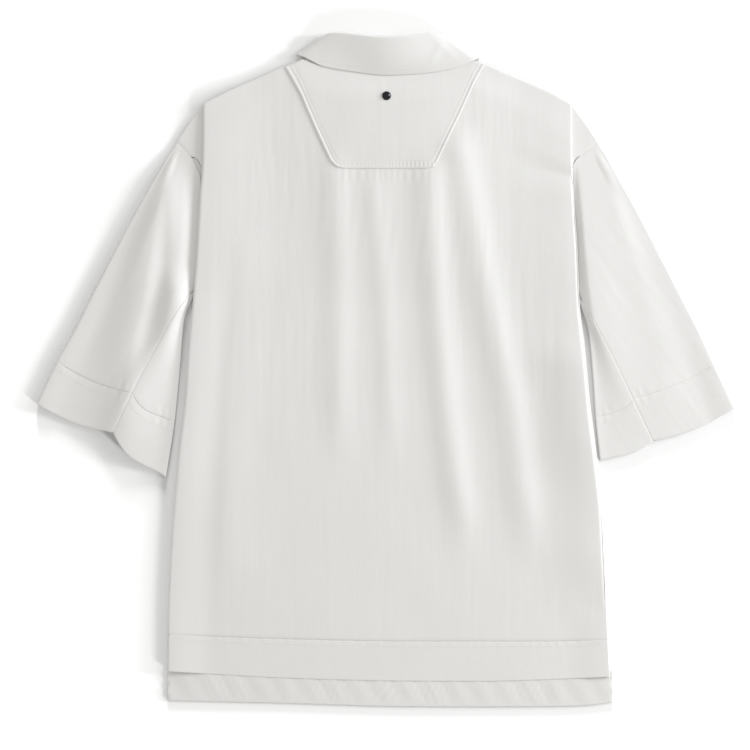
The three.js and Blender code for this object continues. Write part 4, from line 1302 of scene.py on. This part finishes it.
class SHIRT_OT_placket(bpy.types.Operator):
    """Make the hidden placket strips and finish the buttons"""

    bl_idname = "shirt.placket"
    bl_label = "Placket"

    def execute(self, context):
        y = np.linspace(PLACKET_LOW, PLACKET_HIGH, PLACKET_ROWS)[:, None]
        lifts = [1 - ramp(BED_INNER, BED_OUTER, np.abs(y - place)) for place in BUTTON_PLACES]
        lift = (BUTTON_THICK + GAP) * np.maximum.reduce(lifts)
        for name, level, half in (
            ("placket_over", GROUND, PLACKET_HALF),
            ("placket_under", SECOND, PLACKET_HALF - 1),
        ):
            x = np.linspace(-half, half, PLACKET_COLUMNS)[None, :]
            grid = points(x, y, level + lift * mix(1, 0.98, np.abs(x) / PLACKET_HALF))
            piece = make_mesh(f"{name}_cloth", *shell(grid, wall()))
            dress(piece, material_of("Cotton body"), "shirting", name)
        for n in range(len(BUTTON_PLACES)):
            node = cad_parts[f"button_{n + 1}"]
            node.data.materials.clear()
            node.data.materials.append(material_of("Button shell"))
        return {"FINISHED"}


class SHIRT_OT_stud(bpy.types.Operator):
    """Make the small round stud below the collar"""

    bl_idname = "shirt.stud"
    bl_label = "Stud"

    def execute(self, context):
        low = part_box("neck_stud")[0][2] / MM
        profile = rows(
            "r z",
            (0.01, 0),
            (STUD_RADIUS - 0.5, 0),
            (STUD_RADIUS, 0.35),
            (STUD_RADIUS, 0.8),
            (STUD_RADIUS - 0.35, 1.1),
            (STUD_RADIUS - 0.9, 1.15),
            (STUD_RADIUS - 1.2, 1.45),
            (STUD_RADIUS - 2.0, 2.1),
            (STUD_RADIUS - 3.2, 2.5),
            (0.01, STUD_HEIGHT),
        )
        angle = np.linspace(0, 2 * math.pi, STUD_SIDES + 1)[:-1]
        ring = np.arange(len(profile["r"]) * STUD_SIDES).reshape(-1, STUD_SIDES)
        radius, height = profile["r"][:, None], profile["z"][:, None]
        cloud = points(
            STUD_X + radius * np.cos(angle), STUD_Y + radius * np.sin(angle), low + height
        ).reshape(-1, 3)
        turned = np.roll(ring, -1, axis=1)
        faces = np.stack([ring[:-1], turned[:-1], turned[1:], ring[1:]], -1).reshape(-1, 4)
        piece = make_mesh("neck_stud_dome", cloud, faces)
        dress(piece, material_of("Dark metal"), "stud_metal", "neck_stud")
        return {"FINISHED"}


class SHIRT_OT_stage(bpy.types.Operator):
    """Make the floor, the lights and the camera"""

    bl_idname = "shirt.stage"
    bl_label = "Stage"

    def execute(self, context):
        scene = context.scene
        stage = scene.shirt_stage
        square = np.array([[-1, -1, 0], [1, -1, 0], [1, 1, 0], [-1, 1, 0]])
        cloud = square * FLOOR_HALF - [0, 0, FLOOR_GAP]
        floor = make_mesh("floor", cloud, np.array([[0, 1, 2, 3]]), np.zeros(3))
        material = bpy.data.materials.new("Pale floor")
        material.use_nodes = True
        shader = material.node_tree.nodes["Principled BSDF"]
        shader.inputs["Base Color"].default_value = (*scene.shirt_colours.floor, 1)
        shader.inputs["Roughness"].default_value = 0.9
        shader.inputs["Specular IOR Level"].default_value = 0.1
        floor.data.materials.append(material)

        world = bpy.data.worlds.new("Studio")
        scene.world = world
        world.use_nodes = True
        sky = world.node_tree.nodes["Background"]
        sky.inputs["Color"].default_value = SKY_COLOUR
        sky.inputs["Strength"].default_value = stage.sky

        key = bpy.data.lights.new("Key", "AREA")
        key.energy = stage.key
        key.size = KEY_SIZE
        key.color = KEY_COLOUR
        aim(key, KEY_PLACE)
        ground = bpy.data.collections.new("Ground")
        ground.objects.link(floor)
        for name, place, strength in (
            ("Floor light right", (2.95, 0.26, 0.47), stage.floor_right),
            ("Floor light top", (0, 2.96, 0.47), stage.floor_top),
            ("Floor light below", (2.22, -1.86, 0.78), stage.floor_below),
        ):
            sun = bpy.data.lights.new(name, "SUN")
            sun.energy = strength
            sun.angle = math.radians(SUN_SIZE)
            aim(sun, place).light_linking.receiver_collection = ground

        view = bpy.data.cameras.new("Camera")
        view.sensor_width = 36
        view.lens = view.sensor_width * stage.camera_height / stage.frame_width
        view.clip_end = 20
        camera = bpy.data.objects.new("Camera", view)
        camera.location = (*PICTURE_MIDDLE, stage.camera_height)
        scene.collection.objects.link(camera)
        scene.camera = camera
        scene.view_settings.view_transform = "Standard"
        return {"FINISHED"}


class SHIRT_PT_panel(bpy.types.Panel):
    """Lists the shirt's pieces and settings"""

    bl_idname = "SHIRT_PT_panel"
    bl_label = "Polo Shirt"
    bl_space_type = "VIEW_3D"
    bl_region_type = "UI"
    bl_category = "Shirt"

    def draw(self, context):
        for group, settings in SETTINGS:
            for name in settings.__annotations__:
                self.layout.prop(getattr(context.scene, group), name)
        for operator in PIECES:
            self.layout.operator(operator.bl_idname)


PIECES = (
    SHIRT_OT_stage,
    SHIRT_OT_front,
    SHIRT_OT_sleeves,
    SHIRT_OT_back,
    SHIRT_OT_yoke,
    SHIRT_OT_collar,
    SHIRT_OT_placket,
    SHIRT_OT_stud,
)
SETTINGS = (
    ("shirt_cloth", ShirtCloth),
    ("shirt_colours", ShirtColours),
    ("shirt_stage", ShirtStage),
)


def register():
    """Registers the settings, the operators and the panel."""
    for name, settings in SETTINGS:
        bpy.utils.register_class(settings)
        setattr(bpy.types.Scene, name, bpy.props.PointerProperty(type=settings))
    for operator in PIECES:
        bpy.utils.register_class(operator)
    bpy.utils.register_class(SHIRT_PT_panel)


def unregister():
    """Takes the panel, the operators and the settings away again."""
    bpy.utils.unregister_class(SHIRT_PT_panel)
    for operator in reversed(PIECES):
        bpy.utils.unregister_class(operator)
    for name, settings in reversed(SETTINGS):
        delattr(bpy.types.Scene, name)
        bpy.utils.unregister_class(settings)


def main():
    register()
    bpy.ops.shirt.stage()
    bpy.ops.shirt.front()
    bpy.ops.shirt.sleeves()
    bpy.ops.shirt.back()
    bpy.ops.shirt.yoke()
    bpy.ops.shirt.collar()
    bpy.ops.shirt.placket()
    bpy.ops.shirt.stud()


if __name__ == "__main__":
    main()
